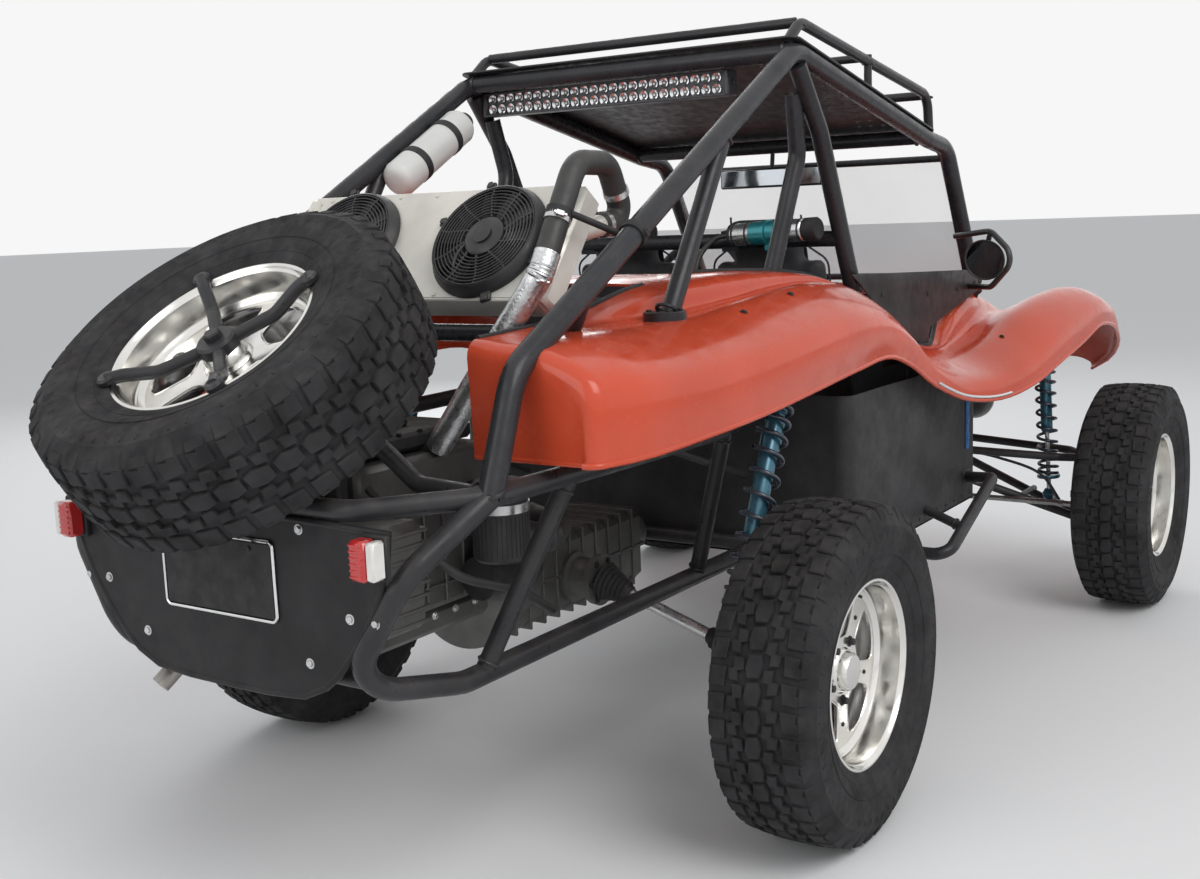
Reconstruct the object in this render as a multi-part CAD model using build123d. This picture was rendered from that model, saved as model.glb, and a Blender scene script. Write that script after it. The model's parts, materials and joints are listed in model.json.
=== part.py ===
"""Open dune buggy with a tube cage, rear engine, tilted spare wheel and long-travel suspension.

Millimetres, +X forward, +Y left, +Z up. All positions below are measured from the rear axle line on the
floor; ORIGIN_X moves the finished pieces so that the frame sits under the middle of the bounding box.
"""
import math
import os

from build123d import *

# Wheels, from which everything else is scaled
WHEELBASE = 2166.0
REAR_HALF_TRACK = 781.0
FRONT_HALF_TRACK = 917.0
TYRE_R = 375.0
TYRE_W = 244.0
RIM_LIP_R = 208.5
RIM_HALF_W = 95.0
BEAD_R = 198.0
AXLE_Z = TYRE_R

# Running fits and clearances
PIN_FIT = 0.05
MOVE_GAP = 6.0
SKIN = 6.0

# Frame under the finished part
ORIGIN_X = 670.0

# Tube sizes; round stretches are drawn with flat sides, and BEND_STEP is the turn of each mitred length
BEND_STEP = math.radians(30)
TUBE_SIDES = 8
THIN_SIDES = 6
DRUM_SIDES = 12
WHEEL_SIDES = 28
MAIN_R = 25.0
BRACE_R = 21.0
RACK_R = 14.0
THIN_R = 11.0

# Cage and chassis reference positions
CAGE_Y = 500.0
ROOF_REAR = (441.0, 1746.0)
ROOF_FRONT = (1335.0, 1560.0)
KNEE = (-716.0, 1098.0)
TAIL_NODE = (-800.0, 885.0)
RAIL_Y = 380.0
RAIL_Z = 511.0
TAIL_X = -980.0
FRAME_FRONT_X = WHEELBASE + 214.0
RAIL_FRONT_Y = 200.0
RAIL_BEND_X = WHEELBASE - 216.0
RAIL_BEND_Y = 330.0

# Spare wheel
SPARE_CENTRE = (-915.0, 1106.0)
SPARE_TILT = 54.7

# Tub
TUB_REAR_X = 480.0
TUB_FRONT_X = 1440.0
TUB_HALF_W = 620.0
TUB_FLOOR_Z = 480.0
TUB_TOP_Z = 905.0
FOOT_HALF_W = 400.0
FOOT_DROP = 40.0
FIREWALL = (470.0, 1150.0)

# Front corner
KING_Y = FRONT_HALF_TRACK - 127.0
KING_HALF_H = 92.0
STEER_ARM = 120.0
RACK_Z = 356.0
RACK_BAR_R = 14.0
TOWER_Z = 925.0
TOWER_X = (WHEELBASE - 106.0, WHEELBASE + 54.0)
ARM_TUBE_R = 16.0
ARM_TUBE_Z = 440.0
ARM_TUBE = ((RAIL_BEND_X, 336.0, ARM_TUBE_Z), (WHEELBASE + 200.0, 251.0, ARM_TUBE_Z))

# Rear corner
HUB_Y = REAR_HALF_TRACK - 141.0
DIFF_Z = 505.0
REAR_SHOCK_TOP = (176.0, 600.0, 1034.0)
REAR_SHOCK_LOW = (-122.0, 600.0, 414.0)
FRONT_SHOCK_X = WHEELBASE - 16.0
FRONT_SHOCK_TOP = (FRONT_SHOCK_X, 612.0, TOWER_Z)
FRONT_SHOCK_LOW = (FRONT_SHOCK_X, 640.0, 352.0)

# Cabin
SEAT_Y = 235.0
WHEEL_HUB = (1245.0, 235.0, 1120.0)
WHEEL_RAKE = 28.0
COLUMN_SHAFT_R = 10.0


def vec(point):
    return point if isinstance(point, Vector) else Vector(*point)


def mirror_y(shape):
    return shape.mirror(Plane.XZ)


def pair(shape):
    return [shape, mirror_y(shape)]


def flip(point):
    return (point[0], -point[1], point[2])


def solid_of(shapes):
    out = shapes[0]
    if len(shapes) > 1:
        out = out.fuse(*shapes[1:])
    return out


def ring_face(plane, radius, sides=TUBE_SIDES):
    """Regular polygon of that outer radius on a plane."""
    step = 2 * math.pi / sides
    corners = [plane.from_local_coords((radius * math.cos(step * k), radius * math.sin(step * k), 0))
               for k in range(sides)]
    return Face(Wire.make_polygon(corners, close=True))


def rod(a, b, radius, radius_end=None, sides=TUBE_SIDES):
    """Bar from a to b with flat sides; it tapers when a second radius is given."""
    start, end = vec(a), vec(b)
    along = end - start
    plane = Plane(origin=start, z_dir=along.normalized())
    low = ring_face(plane, radius, sides)
    if radius_end is None:
        return Solid.extrude(low, along)
    step = 2 * math.pi / sides
    rings = [[plane.from_local_coords((r * math.cos(step * k), r * math.sin(step * k), h))
              for k in range(sides)]
             for r, h in ((radius, 0), (radius_end, along.length))]
    return skinned(rings)


def pin(a, b, radius):
    """True round bar, for pins, bores and bars that something clamps on."""
    start, end = vec(a), vec(b)
    along = end - start
    plane = Plane(origin=start, z_dir=along.normalized())
    return plane.location * Cylinder(radius, along.length, align=(Align.CENTER, Align.CENTER, Align.MIN))


def bent(points, radius, bend=90.0, sides=TUBE_SIDES):
    """Tube through points; each inner point is rounded by short mitred lengths on an arc."""
    pts = [vec(p) for p in points]
    path = [pts[0]]
    for before, here, after in zip(pts, pts[1:], pts[2:]):
        into, out = (here - before).normalized(), (after - here).normalized()
        turn = math.radians(into.get_angle(out))
        if turn < 0.02:
            continue
        reach = min(bend * math.tan(turn / 2), 0.45 * (here - before).length, 0.45 * (after - here).length)
        r_here = reach / math.tan(turn / 2)
        inward = (out - into).normalized()
        centre = here + inward * (r_here / math.cos(turn / 2))
        chords = max(1, round(turn / BEND_STEP))
        first, normal = here - into * reach - centre, into.cross(out).normalized()
        for k in range(chords + 1):
            a = turn * k / chords
            path.append(centre + first * math.cos(a) + normal.cross(first) * math.sin(a))
    path.append(pts[-1])
    return mitred(path, radius, sides)


def skinned(rings):
    """Solid through rings of points, each ring flat and each side face flat."""
    faces = [Face(Wire.make_polygon(rings[0], close=True)), Face(Wire.make_polygon(rings[-1], close=True))]
    sides = len(rings[0])
    for low, high in zip(rings, rings[1:]):
        for k in range(sides):
            n = (k + 1) % sides
            faces.append(Face(Wire.make_polygon([low[k], low[n], high[n], high[k]], close=True)))
    return Solid(Shell(faces))


def mitred(path, radius, sides):
    """Flat-sided tube along straight lengths, cut at the half angle where two lengths meet."""
    along = [(b - a).normalized() for a, b in zip(path, path[1:])]
    plane = Plane(origin=path[0], z_dir=along[0])
    step = 2 * math.pi / sides
    ring = [plane.from_local_coords((radius * math.cos(step * k), radius * math.sin(step * k), 0))
            for k in range(sides)]
    rings = [ring]
    for here, into, out in zip(path[1:], along, along[1:] + [None]):
        normal = into if out is None else (into + out).normalized()
        ring = [p + into * ((here - p).dot(normal) / into.dot(normal)) for p in ring]
        rings.append(ring)
    return skinned(rings)


def box_at(x, y, z):
    """Box from three (low, high) spans."""
    size = (x[1] - x[0], y[1] - y[0], z[1] - z[0])
    mid = ((x[0] + x[1]) / 2, (y[0] + y[1]) / 2, (z[0] + z[1]) / 2)
    return Pos(*mid) * Box(*size)


def prism_y(outline, y_low, y_high):
    """Plate with an (x, z) outline between two y values."""
    face = Face(Wire.make_polygon([Vector(x, y_low, z) for x, z in outline], close=True))
    return Solid.extrude(face, Vector(0, y_high - y_low, 0))


def prism_z(outline, z_low, z_high):
    """Plate with an (x, y) outline between two heights."""
    face = Face(Wire.make_polygon([Vector(x, y, z_low) for x, y in outline], close=True))
    return Solid.extrude(face, Vector(0, 0, z_high - z_low))


def prism_x(outline, x_low, x_high):
    """Plate with a (y, z) outline between two x values."""
    face = Face(Wire.make_polygon([Vector(x_low, y, z) for y, z in outline], close=True))
    return Solid.extrude(face, Vector(x_high - x_low, 0, 0))


def turned(profile, axis_plane, sides=DRUM_SIDES):
    """Ring of flat faces about the plane's z; profile is a closed list of (radius, along) off the axis."""
    step = 2 * math.pi / sides

    def corner(radius, height, k):
        a = step * (k + 0.5)
        return axis_plane.from_local_coords((radius * math.cos(a), radius * math.sin(a), height))

    faces = []
    for (r1, h1), (r2, h2) in zip(profile, profile[1:] + profile[:1]):
        for k in range(sides):
            quad = [corner(r1, h1, k), corner(r1, h1, k + 1), corner(r2, h2, k + 1), corner(r2, h2, k)]
            faces.append(Face(Wire.make_polygon(quad, close=True)))
    return Solid(Shell(faces))


def drum(radius, low, high, sides=DRUM_SIDES):
    """Flat-sided disc about the local z axis."""
    step = 2 * math.pi / sides
    corners = [Vector(radius * math.cos(step * (k + 0.5)), radius * math.sin(step * (k + 0.5)), low)
               for k in range(sides)]
    return Solid.extrude(Face(Wire.make_polygon(corners, close=True)), Vector(0, 0, high - low))


def side_plane(x, y, z):
    """Plane for a wheel: its z points outboard."""
    return Plane(origin=(x, y, z), z_dir=(0, 1 if y >= 0 else -1, 0), x_dir=(1, 0, 0))


# wheels
FLAT_R = 1 / math.cos(math.pi / WHEEL_SIDES)
TYRE_PROFILE = [
    # radius, offset from the wheel's centre plane
    (BEAD_R, -RIM_HALF_W + 10), (RIM_LIP_R, -RIM_HALF_W), (310, -TYRE_W / 2), (TYRE_R * FLAT_R, -88),
    (TYRE_R * FLAT_R, 88), (310, TYRE_W / 2), (RIM_LIP_R, RIM_HALF_W), (BEAD_R, RIM_HALF_W - 10),
]
RIM_FACE_T = 12.0
RIM_FACE_A = 30.0
RIM_WALL = 7.0
HUB_BORE_R = 22.0
WINDOW_COUNT = 5
WINDOW = [(76, -24), (76, 24), (138, 60), (162, 32), (168, 0), (162, -32), (138, -60)]


def tyre(plane):
    """Plain carcass; the tread blocks are left to the picture."""
    return plane.location * turned(TYRE_PROFILE, Plane.XY, WHEEL_SIDES)


def rim(plane, bored=True):
    """Deep-dish wheel: barrel, flat disc with windows, hub boss."""
    w, inner = RIM_HALF_W, BEAD_R - RIM_WALL
    barrel = turned([
        (RIM_LIP_R, w), (BEAD_R, w - 10), (BEAD_R, -w + 10), (RIM_LIP_R, -w), (inner, -w + 10),
        (inner, w - 10),
    ], Plane.XY, WHEEL_SIDES)
    disc = drum(BEAD_R - 3, RIM_FACE_A - RIM_FACE_T, RIM_FACE_A, WHEEL_SIDES)
    hole = prism_z(WINDOW, RIM_FACE_A - 40, RIM_FACE_A + 20)
    disc = disc.cut(*[Rot(0, 0, 360 / WINDOW_COUNT * k + 18) * hole for k in range(WINDOW_COUNT)])
    wheel = barrel.fuse(disc, drum(44, -20, RIM_FACE_A + 26))
    if bored:
        wheel = wheel.cut(pin((0, 0, -80), (0, 0, 30), HUB_BORE_R))
    return plane.location * wheel


def spare_plane():
    tilt = math.radians(SPARE_TILT)
    normal = (-math.cos(tilt), 0, math.sin(tilt))
    return Plane(origin=(SPARE_CENTRE[0], 0, SPARE_CENTRE[1]), z_dir=normal, x_dir=(0, 1, 0))


# body shell
BODY_STATIONS = [
    # x, centre z, then (y, z) of shoulder, valley, crest, widest side, lower edge
    (-680, 1152, (330, 1150), (420, 1142), (530, 1130), (640, 1070), (648, 925)),
    (-560, 1156, (335, 1154), (430, 1148), (550, 1136), (672, 1070), (680, 928)),
    (-350, 1172, (350, 1168), (440, 1150), (560, 1138), (690, 1066), (697, 938)),
    (-120, 1215, (385, 1206), (455, 1152), (570, 1150), (704, 1078), (706, 952)),
    (120, 1226, (410, 1222), (480, 1168), (580, 1176), (714, 1096), (708, 972)),
    (350, 1226, (425, 1224), (495, 1186), (590, 1190), (716, 1110), (704, 990)),
    (560, 1206, (450, 1204), (510, 1184), (600, 1166), (708, 1086), (696, 998)),
    (740, 1150, (480, 1146), (530, 1130), (600, 1096), (694, 1020), (688, 955)),
    (900, 1070, (500, 1058), (545, 1044), (602, 1010), (688, 940), (690, 886)),
    (1080, 1010, (515, 983), (560, 968), (615, 938), (700, 884), (715, 826)),
    (1280, 1020, (515, 968), (560, 942), (640, 914), (738, 866), (752, 806)),
    (1480, 1080, (495, 1040), (545, 962), (660, 962), (768, 902), (784, 826)),
    (1680, 1124, (470, 1096), (540, 1002), (680, 1032), (790, 960), (805, 872)),
    (1880, 1104, (440, 1072), (525, 1010), (690, 1070), (800, 1010), (820, 915)),
    (2080, 1068, (400, 1034), (505, 1002), (690, 1080), (806, 1036), (826, 955)),
    (2280, 1016, (360, 984), (480, 962), (690, 1048), (802, 1004), (822, 930)),
    (2430, 952, (320, 922), (450, 906), (676, 976), (782, 932), (800, 862)),
    (2540, 878, (280, 852), (420, 838), (640, 880), (735, 846), (748, 796)),
    (2610, 786, (240, 770), (380, 762), (570, 790), (650, 772), (660, 742)),
]


# right edge of the cockpit opening as x and y; no corner lies on a station, where the cut would be unsure
COCKPIT = [(157, 323), (391, 431), (887, 538), (1253, 538), (1421, 493), (1587, 297)]


def soft_points(control, per_span):
    """Points of a smooth curve through the control points."""
    pts = []
    n = len(control)
    for i in range(n - 1):
        p0 = control[max(i - 1, 0)]
        p1, p2 = control[i], control[i + 1]
        p3 = control[min(i + 2, n - 1)]
        for k in range(per_span):
            t = k / per_span
            pts.append(tuple(
                0.5 * (2 * b + (c - a) * t + (2 * a - 5 * b + 4 * c - d) * t * t
                       + (3 * b - a - 3 * c + d) * t ** 3)
                for a, b, c, d in zip(p0, p1, p2, p3)))
    pts.append(tuple(control[-1]))
    return pts


def inset_points(pts, depth):
    """The same curve moved inwards (to the right of its direction) by depth."""
    out = []
    for i, (y, z) in enumerate(pts):
        ya, za = pts[max(i - 1, 0)]
        yb, zb = pts[min(i + 1, len(pts) - 1)]
        dy, dz = yb - ya, zb - za
        length = math.hypot(dy, dz)
        out.append((y + dz / length * depth, z - dy / length * depth))
    return out


def body_section(row):
    x, centre = row[0], row[1]
    outer = soft_points([(0.0, centre)] + [tuple(p) for p in row[2:]], 2)
    inner = inset_points(outer, SKIN)
    inner[0] = (0.0, centre - SKIN)
    over = [(-y, z) for y, z in reversed(outer[1:])] + outer
    under = [(-y, z) for y, z in reversed(inner[1:])] + inner
    return [Vector(x, y, z) for y, z in over] + [Vector(x, y, z) for y, z in reversed(under)]


def end_strip(loop):
    """Flat faces that close one end of the shell between its outer and inner line."""
    half = len(loop) // 2
    quads = [(loop[k], loop[k + 1], loop[-2 - k], loop[-1 - k]) for k in range(half - 1)]
    return [Face(Wire.make_polygon(q, close=True)) for q in quads]


def body_shell():
    loops = [body_section(row) for row in BODY_STATIONS]
    faces = end_strip(loops[0]) + end_strip(loops[-1])
    count = len(loops[0])
    for low, high in zip(loops, loops[1:]):
        for k in range(count):
            n = (k + 1) % count
            faces.append(Face(Wire.make_polygon([low[k], low[n], high[n]], close=True)))
            faces.append(Face(Wire.make_polygon([low[k], high[n], high[k]], close=True)))
    whole = Solid(Shell(faces))
    engine_gap = box_at((-900, -60), (-364, 364), (700, 1400))
    cockpit = prism_z(COCKPIT + [(x, -y) for x, y in reversed(COCKPIT)], 700, 1500)
    return whole.cut(engine_gap, cockpit)


# cage and chassis
def side_point(xz, y=CAGE_Y):
    return (xz[0], y, xz[1])


def diagonal_at(x):
    """Point of the main diagonal at x."""
    t = (x - ROOF_REAR[0]) / (KNEE[0] - ROOF_REAR[0])
    return (x, CAGE_Y, ROOF_REAR[1] + t * (KNEE[1] - ROOF_REAR[1]))


def cage():
    """Roof hoops, diagonals, pillars and the bars across."""
    side = [
        bent([(1760, CAGE_Y, 1085), (1640, CAGE_Y, 1296), (1490, CAGE_Y, 1540), side_point(ROOF_FRONT),
              side_point(ROOF_REAR), side_point(KNEE), side_point(TAIL_NODE)], MAIN_R, 110),
        rod((1752, CAGE_Y, 1098), (1800, 430, 940), MAIN_R - 3),
        bent([(460, CAGE_Y, 1715), (585, CAGE_Y, 1560), (785, CAGE_Y, 1150), (800, CAGE_Y, 1000)],
             MAIN_R - 2, 90),
        bent([(500, CAGE_Y - 30, 1650), (540, CAGE_Y - 40, 1500), (440, 430, 1200), (440, 430, 1100)],
             MAIN_R - 3, 80),
        rod(diagonal_at(90), (-189, CAGE_Y, 1128), MAIN_R - 4),
    ]
    rear = (ROOF_REAR[0] + 3, -CAGE_Y, ROOF_REAR[1] - 2)
    front = (ROOF_FRONT[0] - 30, -CAGE_Y, ROOF_FRONT[1] + 6)
    across = [
        rod(rear, flip(rear), MAIN_R - 2),
        rod(front, flip(front), MAIN_R - 4),
        pin((716, 4 - CAGE_Y, 1290), (716, CAGE_Y - 4, 1290), BRACE_R),
        bent([diagonal_at(-480), (-448, CAGE_Y - 60, 1140), (-448, 60 - CAGE_Y, 1140),
              flip(diagonal_at(-480))], BRACE_R - 3, 60),
    ] + windscreen_frame()
    collar = rod((-189, CAGE_Y, 1138), (-189, CAGE_Y, 1146), 44, sides=DRUM_SIDES)
    return solid_of(side + [mirror_y(s) for s in side] + across + pair(collar))


def front_rail_y(x):
    """Distance of a lower rail from the middle at x, ahead of the rail's bend."""
    t = (x - RAIL_BEND_X) / (FRAME_FRONT_X - RAIL_BEND_X)
    return RAIL_BEND_Y + t * (RAIL_FRONT_Y - RAIL_BEND_Y)


def rack_carrier(x):
    """Cross tube over the steering rack, its two hangers and the rack's housing."""
    reach, low = front_rail_y(x) - 11, RACK_Z - 12
    hangers = [box_at((x - 9, x + 9), span, (low, RAIL_Z)) for span in ((-150, -132), (132, 150))]
    tubes = [rod((x, -reach, RAIL_Z), (x, reach, RAIL_Z), BRACE_R - 4),
             rod((x, -200, low), (x, 200, low), 30)]
    return tubes + hangers


def shock_tower():
    """Frame over the front axle that carries the tops of the front dampers."""
    rear, front = TOWER_X
    plates = [box_at((rear - 4, front + 4), span, (TOWER_Z - 6, 966)) for span in ((-408, -396), (396, 408))]
    return [
        rod((rear, -446, TOWER_Z), (rear, 446, TOWER_Z), BRACE_R),
        rod((front, -446, TOWER_Z), (front, 446, TOWER_Z), BRACE_R),
        rod((rear - 20, 0, TOWER_Z), (front + 20, 0, TOWER_Z), BRACE_R - 6),
        rod((FRONT_SHOCK_X, -632, 963), (FRONT_SHOCK_X, 632, 963), BRACE_R),
    ] + plates


def chassis():
    """Lower rails, tail rails, shock towers, the front frame and the rack's housing."""
    low = [(FRAME_FRONT_X, RAIL_FRONT_Y, RAIL_Z), (RAIL_BEND_X, RAIL_BEND_Y, RAIL_Z), (1500, RAIL_Y, RAIL_Z),
           (-760, RAIL_Y, RAIL_Z), (-930, 330, 540), (TAIL_X, 330, 600), (-970, 440, 770),
           side_point(TAIL_NODE)]
    leg_x, hanger_x = WHEELBASE + 114, WHEELBASE + 164
    side = [
        bent(low, MAIN_R - 3, 100),
        bent([side_point(TAIL_NODE), (-190, CAGE_Y, 880), (60, CAGE_Y, 880), (470, 430, 900)],
             BRACE_R, 90),
        rod((-189, CAGE_Y, 1128), (-189, CAGE_Y, 880), BRACE_R - 1),
        rod((-189, CAGE_Y, 1030), (176, 600, 1072), BRACE_R - 3),
        rod((60, CAGE_Y, 880), (170, 592, 1066), BRACE_R - 8),
        rod((60, CAGE_Y, 880), (120, RAIL_Y, RAIL_Z), BRACE_R - 2),
        rod((-560, CAGE_Y, 878), (-700, RAIL_Y, RAIL_Z), BRACE_R - 2),
        bent([side_point(TAIL_NODE), (-975, 330, 878), (-975, 0, 878)], BRACE_R - 1, 90),
        rod((RAIL_BEND_X, RAIL_BEND_Y, RAIL_Z), (TOWER_X[0], 420, TOWER_Z), BRACE_R - 4),
        rod((leg_x, front_rail_y(leg_x) + 2, RAIL_Z), (TOWER_X[1], 420, TOWER_Z), BRACE_R - 4),
        rod(ARM_TUBE[0], ARM_TUBE[1], ARM_TUBE_R),
        rod((RAIL_BEND_X + 25, 331, RAIL_Z), (RAIL_BEND_X + 25, 331, ARM_TUBE_Z), ARM_TUBE_R - 3),
        rod((hanger_x, 258, RAIL_Z - 60), (hanger_x, front_rail_y(hanger_x) + 1, RAIL_Z), ARM_TUBE_R - 3),
        box_at((530, 590), (366, 394), (430, 500)),
    ]
    rack_x = WHEELBASE - STEER_ARM
    nose = (FRAME_FRONT_X - 6, -RAIL_FRONT_Y - 6, RAIL_Z)
    across = [
        rod((-940, -320, 560), (-940, 320, 560), BRACE_R - 3),
        rod((456, -RAIL_Y, RAIL_Z), (456, RAIL_Y, RAIL_Z), BRACE_R - 2),
        rod(nose, flip(nose), MAIN_R - 5),
    ] + shock_tower() + rack_carrier(rack_x)
    hole = pin((rack_x, -210, RACK_Z - 12), (rack_x, 210, RACK_Z - 12), RACK_BAR_R)
    return solid_of(side + [mirror_y(s) for s in side] + across).cut(hole)


def roof_panel():
    """Sheet lying on the roof tubes."""
    top_r, top_f = ROOF_REAR[1] + MAIN_R, ROOF_FRONT[1] + MAIN_R
    outline = [(ROOF_REAR[0] - 20, top_r + 4), (ROOF_FRONT[0] + 20, top_f - 5),
               (ROOF_FRONT[0] + 20, top_f), (ROOF_REAR[0] - 20, top_r + 9)]
    return prism_y(outline, -CAGE_Y - 20, CAGE_Y + 20)


def roof_rack():
    """Luggage rails over the roof, on their posts, with three bars across."""
    rise = 74
    rear, front = (ROOF_REAR[0] + 70, ROOF_REAR[1] + rise), (ROOF_FRONT[0] + 40, ROOF_FRONT[1] + rise + 56)
    middle = rear[0] + 420
    rails = [
        bent([(rear[0] - 70, 484, rear[1] - rise + 20), (rear[0], 484, rear[1]), (front[0], 484, front[1]),
              (front[0] + 14, 484, front[1] - rise - 40)], RACK_R, 60, THIN_SIDES),
        rod((middle, 484, rear[1] - 46), (middle, 484, rear[1] - 150), RACK_R - 3, sides=THIN_SIDES),
    ]
    cross = [
        pin((rear[0], -474, rear[1]), (rear[0], 474, rear[1]), RACK_R - 1),
        rod((front[0], -484, front[1]), (front[0], 484, front[1]), RACK_R - 1, sides=THIN_SIDES),
        rod((middle, -484, rear[1] - 54), (middle, 484, rear[1] - 54), RACK_R - 3, sides=THIN_SIDES),
    ]
    return solid_of(rails + [mirror_y(s) for s in rails] + cross)


def light_bar():
    """Long lamp housing under the rear of the roof, with two end brackets."""
    x, z = 490.0, 1690.0
    housing = box_at((x - 22, x + 26), (-300, 470), (z - 32, z + 32))
    lens_pocket = box_at((x - 30, x - 16), (-290, 460), (z - 24, z + 24))
    ends = [box_at((x - 10, x + 10), (y, y + 8), (z, z + 62)) for y in (-308, 470)]
    return solid_of([housing.cut(lens_pocket)] + ends)


# tub and cabin
def tub():
    """Black lower body as flat panels: floor, sides, bulkheads, firewall and footwell, open on top."""
    x0, x1, w, z0, z1 = TUB_REAR_X, TUB_FRONT_X, TUB_HALF_W, TUB_FLOOR_Z, TUB_TOP_Z
    nose, half, low, foot_top = RAIL_BEND_X - 20, FOOT_HALF_W, z0 + SKIN, z1 - FOOT_DROP
    fire_half, fire_top = FIREWALL
    middle = [
        box_at((x0, x1), (-w, w), (z0, low)),
        box_at((x0, x0 + SKIN), (-w, w), (low, z1)),
        box_at((x0, x0 + SKIN), (-fire_half, fire_half), (z1, fire_top)),
        box_at((x1, nose), (-half, half), (z0, low)),
        box_at((nose - SKIN, nose), (SKIN - half, half - SKIN), (low, foot_top)),
    ]
    sides = [
        box_at((x0 + SKIN, x1), (w - SKIN, w), (low, z1)),
        box_at((x1 - SKIN, x1), (half, w - SKIN), (low, z1)),
        box_at((x1 - SKIN, nose), (half - SKIN, half), (low, foot_top)),
    ]
    return middle + sides + [mirror_y(s) for s in sides]


def side_panel():
    """Black inner panel between the rear pillar and the front pillar, with a tab to each."""
    outline = [(700, 1196), (1700, 1160), (1690, 1092), (1480, 1052), (1270, 1012), (1240, 930), (905, 930),
               (905, 1080), (760, 1165)]
    tabs = [box_at((764, 786), (506, 530), (1150, 1176)), box_at((1686, 1712), (506, 530), (1128, 1152))]
    return solid_of([prism_y(outline, 529, 534)] + tabs)


def seat(y):
    """High-backed bucket seat: the cushion on its base with bolsters, and the back with its wings."""
    cushion = box_at((880, 1320), (y - 190, y + 190), (600, 700))
    lean = Plane(origin=(950, y, 690), z_dir=(-0.17, 0, 0.985), x_dir=(0.985, 0, 0.17))
    back = lean.location * (Pos(-35, 0, 290) * Box(80, 380, 620))
    head = lean.location * (Pos(-35, 0, 640) * Box(70, 250, 120))
    wings = [lean.location * (Pos(20, s * 178, 260) * Box(60, 36, 480)) for s in (-1, 1)]
    bolsters = [box_at((940, 1300), (y + s * 172 - 20, y + s * 172 + 20), (690, 745)) for s in (-1, 1)]
    base = box_at((940, 1280), (y - 105, y + 105), (TUB_FLOOR_Z + SKIN, 605))
    lower = solid_of([cushion, base] + bolsters)
    return [lower, largest(solid_of([back, head] + wings).cut(lower))]


def dash():
    """Instrument panel behind the windscreen, with its hood."""
    outline = [(1640, 1086), (1560, 1082), (1545, 985), (1555, 950), (1572, 950), (1566, 985), (1578, 1066),
               (1640, 1070)]
    return prism_y(outline, -430, 430)


def steering_axis():
    rake = math.radians(WHEEL_RAKE)
    return Vector(-math.cos(rake), 0, math.sin(rake))


def steering_plane():
    return Plane(origin=WHEEL_HUB, z_dir=steering_axis(), x_dir=(0, 1, 0))


def steering_column():
    axis = steering_axis()
    hub = vec(WHEEL_HUB)
    sleeve = rod(hub - axis * 60, hub - axis * 520, 24)
    shaft = pin(hub + axis * 12, hub - axis * 70, COLUMN_SHAFT_R - PIN_FIT)
    return sleeve.fuse(shaft)


def steering_wheel():
    grip = [(165 + 13 * math.cos(a), 26 + 13 * math.sin(a)) for a in [math.pi * k / 3 for k in range(6)]]
    ring = turned(grip, Plane.XY, 20)
    hub = drum(34, -15, 15)
    spokes = [Rot(0, 0, a) * (Pos(0, 92, 13) * Rot(9, 0, 0) * Box(26, 150, 5)) for a in (0, 120, 240)]
    hole = pin((0, 0, -25), (0, 0, 13), COLUMN_SHAFT_R)
    return steering_plane().location * ring.fuse(hub, *spokes).cut(hole)


def windscreen_frame():
    """Thin frame between the front pillars."""
    pts = [(1712, CAGE_Y - 10, 1140), (1620, CAGE_Y - 10, 1322), (1500, CAGE_Y - 10, 1508)]
    return [rod(pts[0], flip(pts[0]), THIN_R), rod(pts[2], flip(pts[2]), THIN_R)]


def windscreen_glass():
    low, high = (1712, 1140), (1500, 1508)
    outline = [(low[0] - 3, low[1]), (low[0] + 2, low[1] + 2), (high[0] + 2, high[1]),
               (high[0] - 3, high[1])]
    return prism_y(outline, -CAGE_Y, CAGE_Y)


def mirrors():
    """Round door mirror held in a looped tube on each side."""
    loop = bent([(1560, 505, 1270), (1490, 640, 1285), (1440, 735, 1205), (1500, 640, 1115),
                 (1640, 505, 1110)], 9, 45, 6)
    cup = rod((1500, 620, 1198), (1540, 620, 1205), 62, 44, DRUM_SIDES)
    stem = rod((1485, 640, 1275), (1515, 622, 1240), 8, sides=6)
    shape = [loop, cup, stem]
    return [solid_of(shape), solid_of([mirror_y(s) for s in shape])]


def rear_view_mirror():
    stem = rod((1318, 0, 1545), (1312, 0, 1500), 8, sides=6)
    return stem.fuse(box_at((1295, 1320), (-180, 180), (1440, 1505)))


# cooling
RAD_TOP = (-300.0, 1436.0)
RAD_LEN = 285.0
RAD_TILT = 37.0
RAD_HALF_W = 395.0
FAN_Y = 200.0
FAN_R = 138.0


def radiator_plane():
    """Origin at the middle of the top rear edge, z out of the rear face, x down the face."""
    t = math.radians(RAD_TILT)
    return Plane(origin=(RAD_TOP[0], 0, RAD_TOP[1]), z_dir=(-math.cos(t), 0, math.sin(t)),
                 x_dir=(-math.sin(t), 0, -math.cos(t)))


def radiator():
    at = radiator_plane().location
    core = at * (Pos(RAD_LEN / 2, 0, -30) * Box(RAD_LEN, 2 * RAD_HALF_W - 90, 60))
    tanks = [at * (Pos(RAD_LEN / 2, s * (RAD_HALF_W - 24), -32) * Box(RAD_LEN, 48, 72)) for s in (-1, 1)]
    neck = rod((-306, -RAD_HALF_W + 30, 1338), (-180, -RAD_HALF_W + 30, 1355), 24)
    return solid_of([core, neck] + tanks)


def fans():
    out = []
    for s in (-1, 1):
        at = radiator_plane().location * Pos(RAD_LEN / 2, s * FAN_Y, 4)
        ring = turned([(FAN_R, 0), (FAN_R, 46), (FAN_R - 12, 46), (FAN_R - 12, 30), (50, 30), (50, 0)],
                      Plane.XY, 16)
        hub = drum(51, 0, 44, 16)
        lugs = [Rot(0, 0, a) * (Pos(FAN_R + 8, 0, 8) * Box(36, 22, 16)) for a in (20, 70, 200, 250)]
        out.append(at * ring.fuse(hub, *lugs))
    return out


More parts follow.
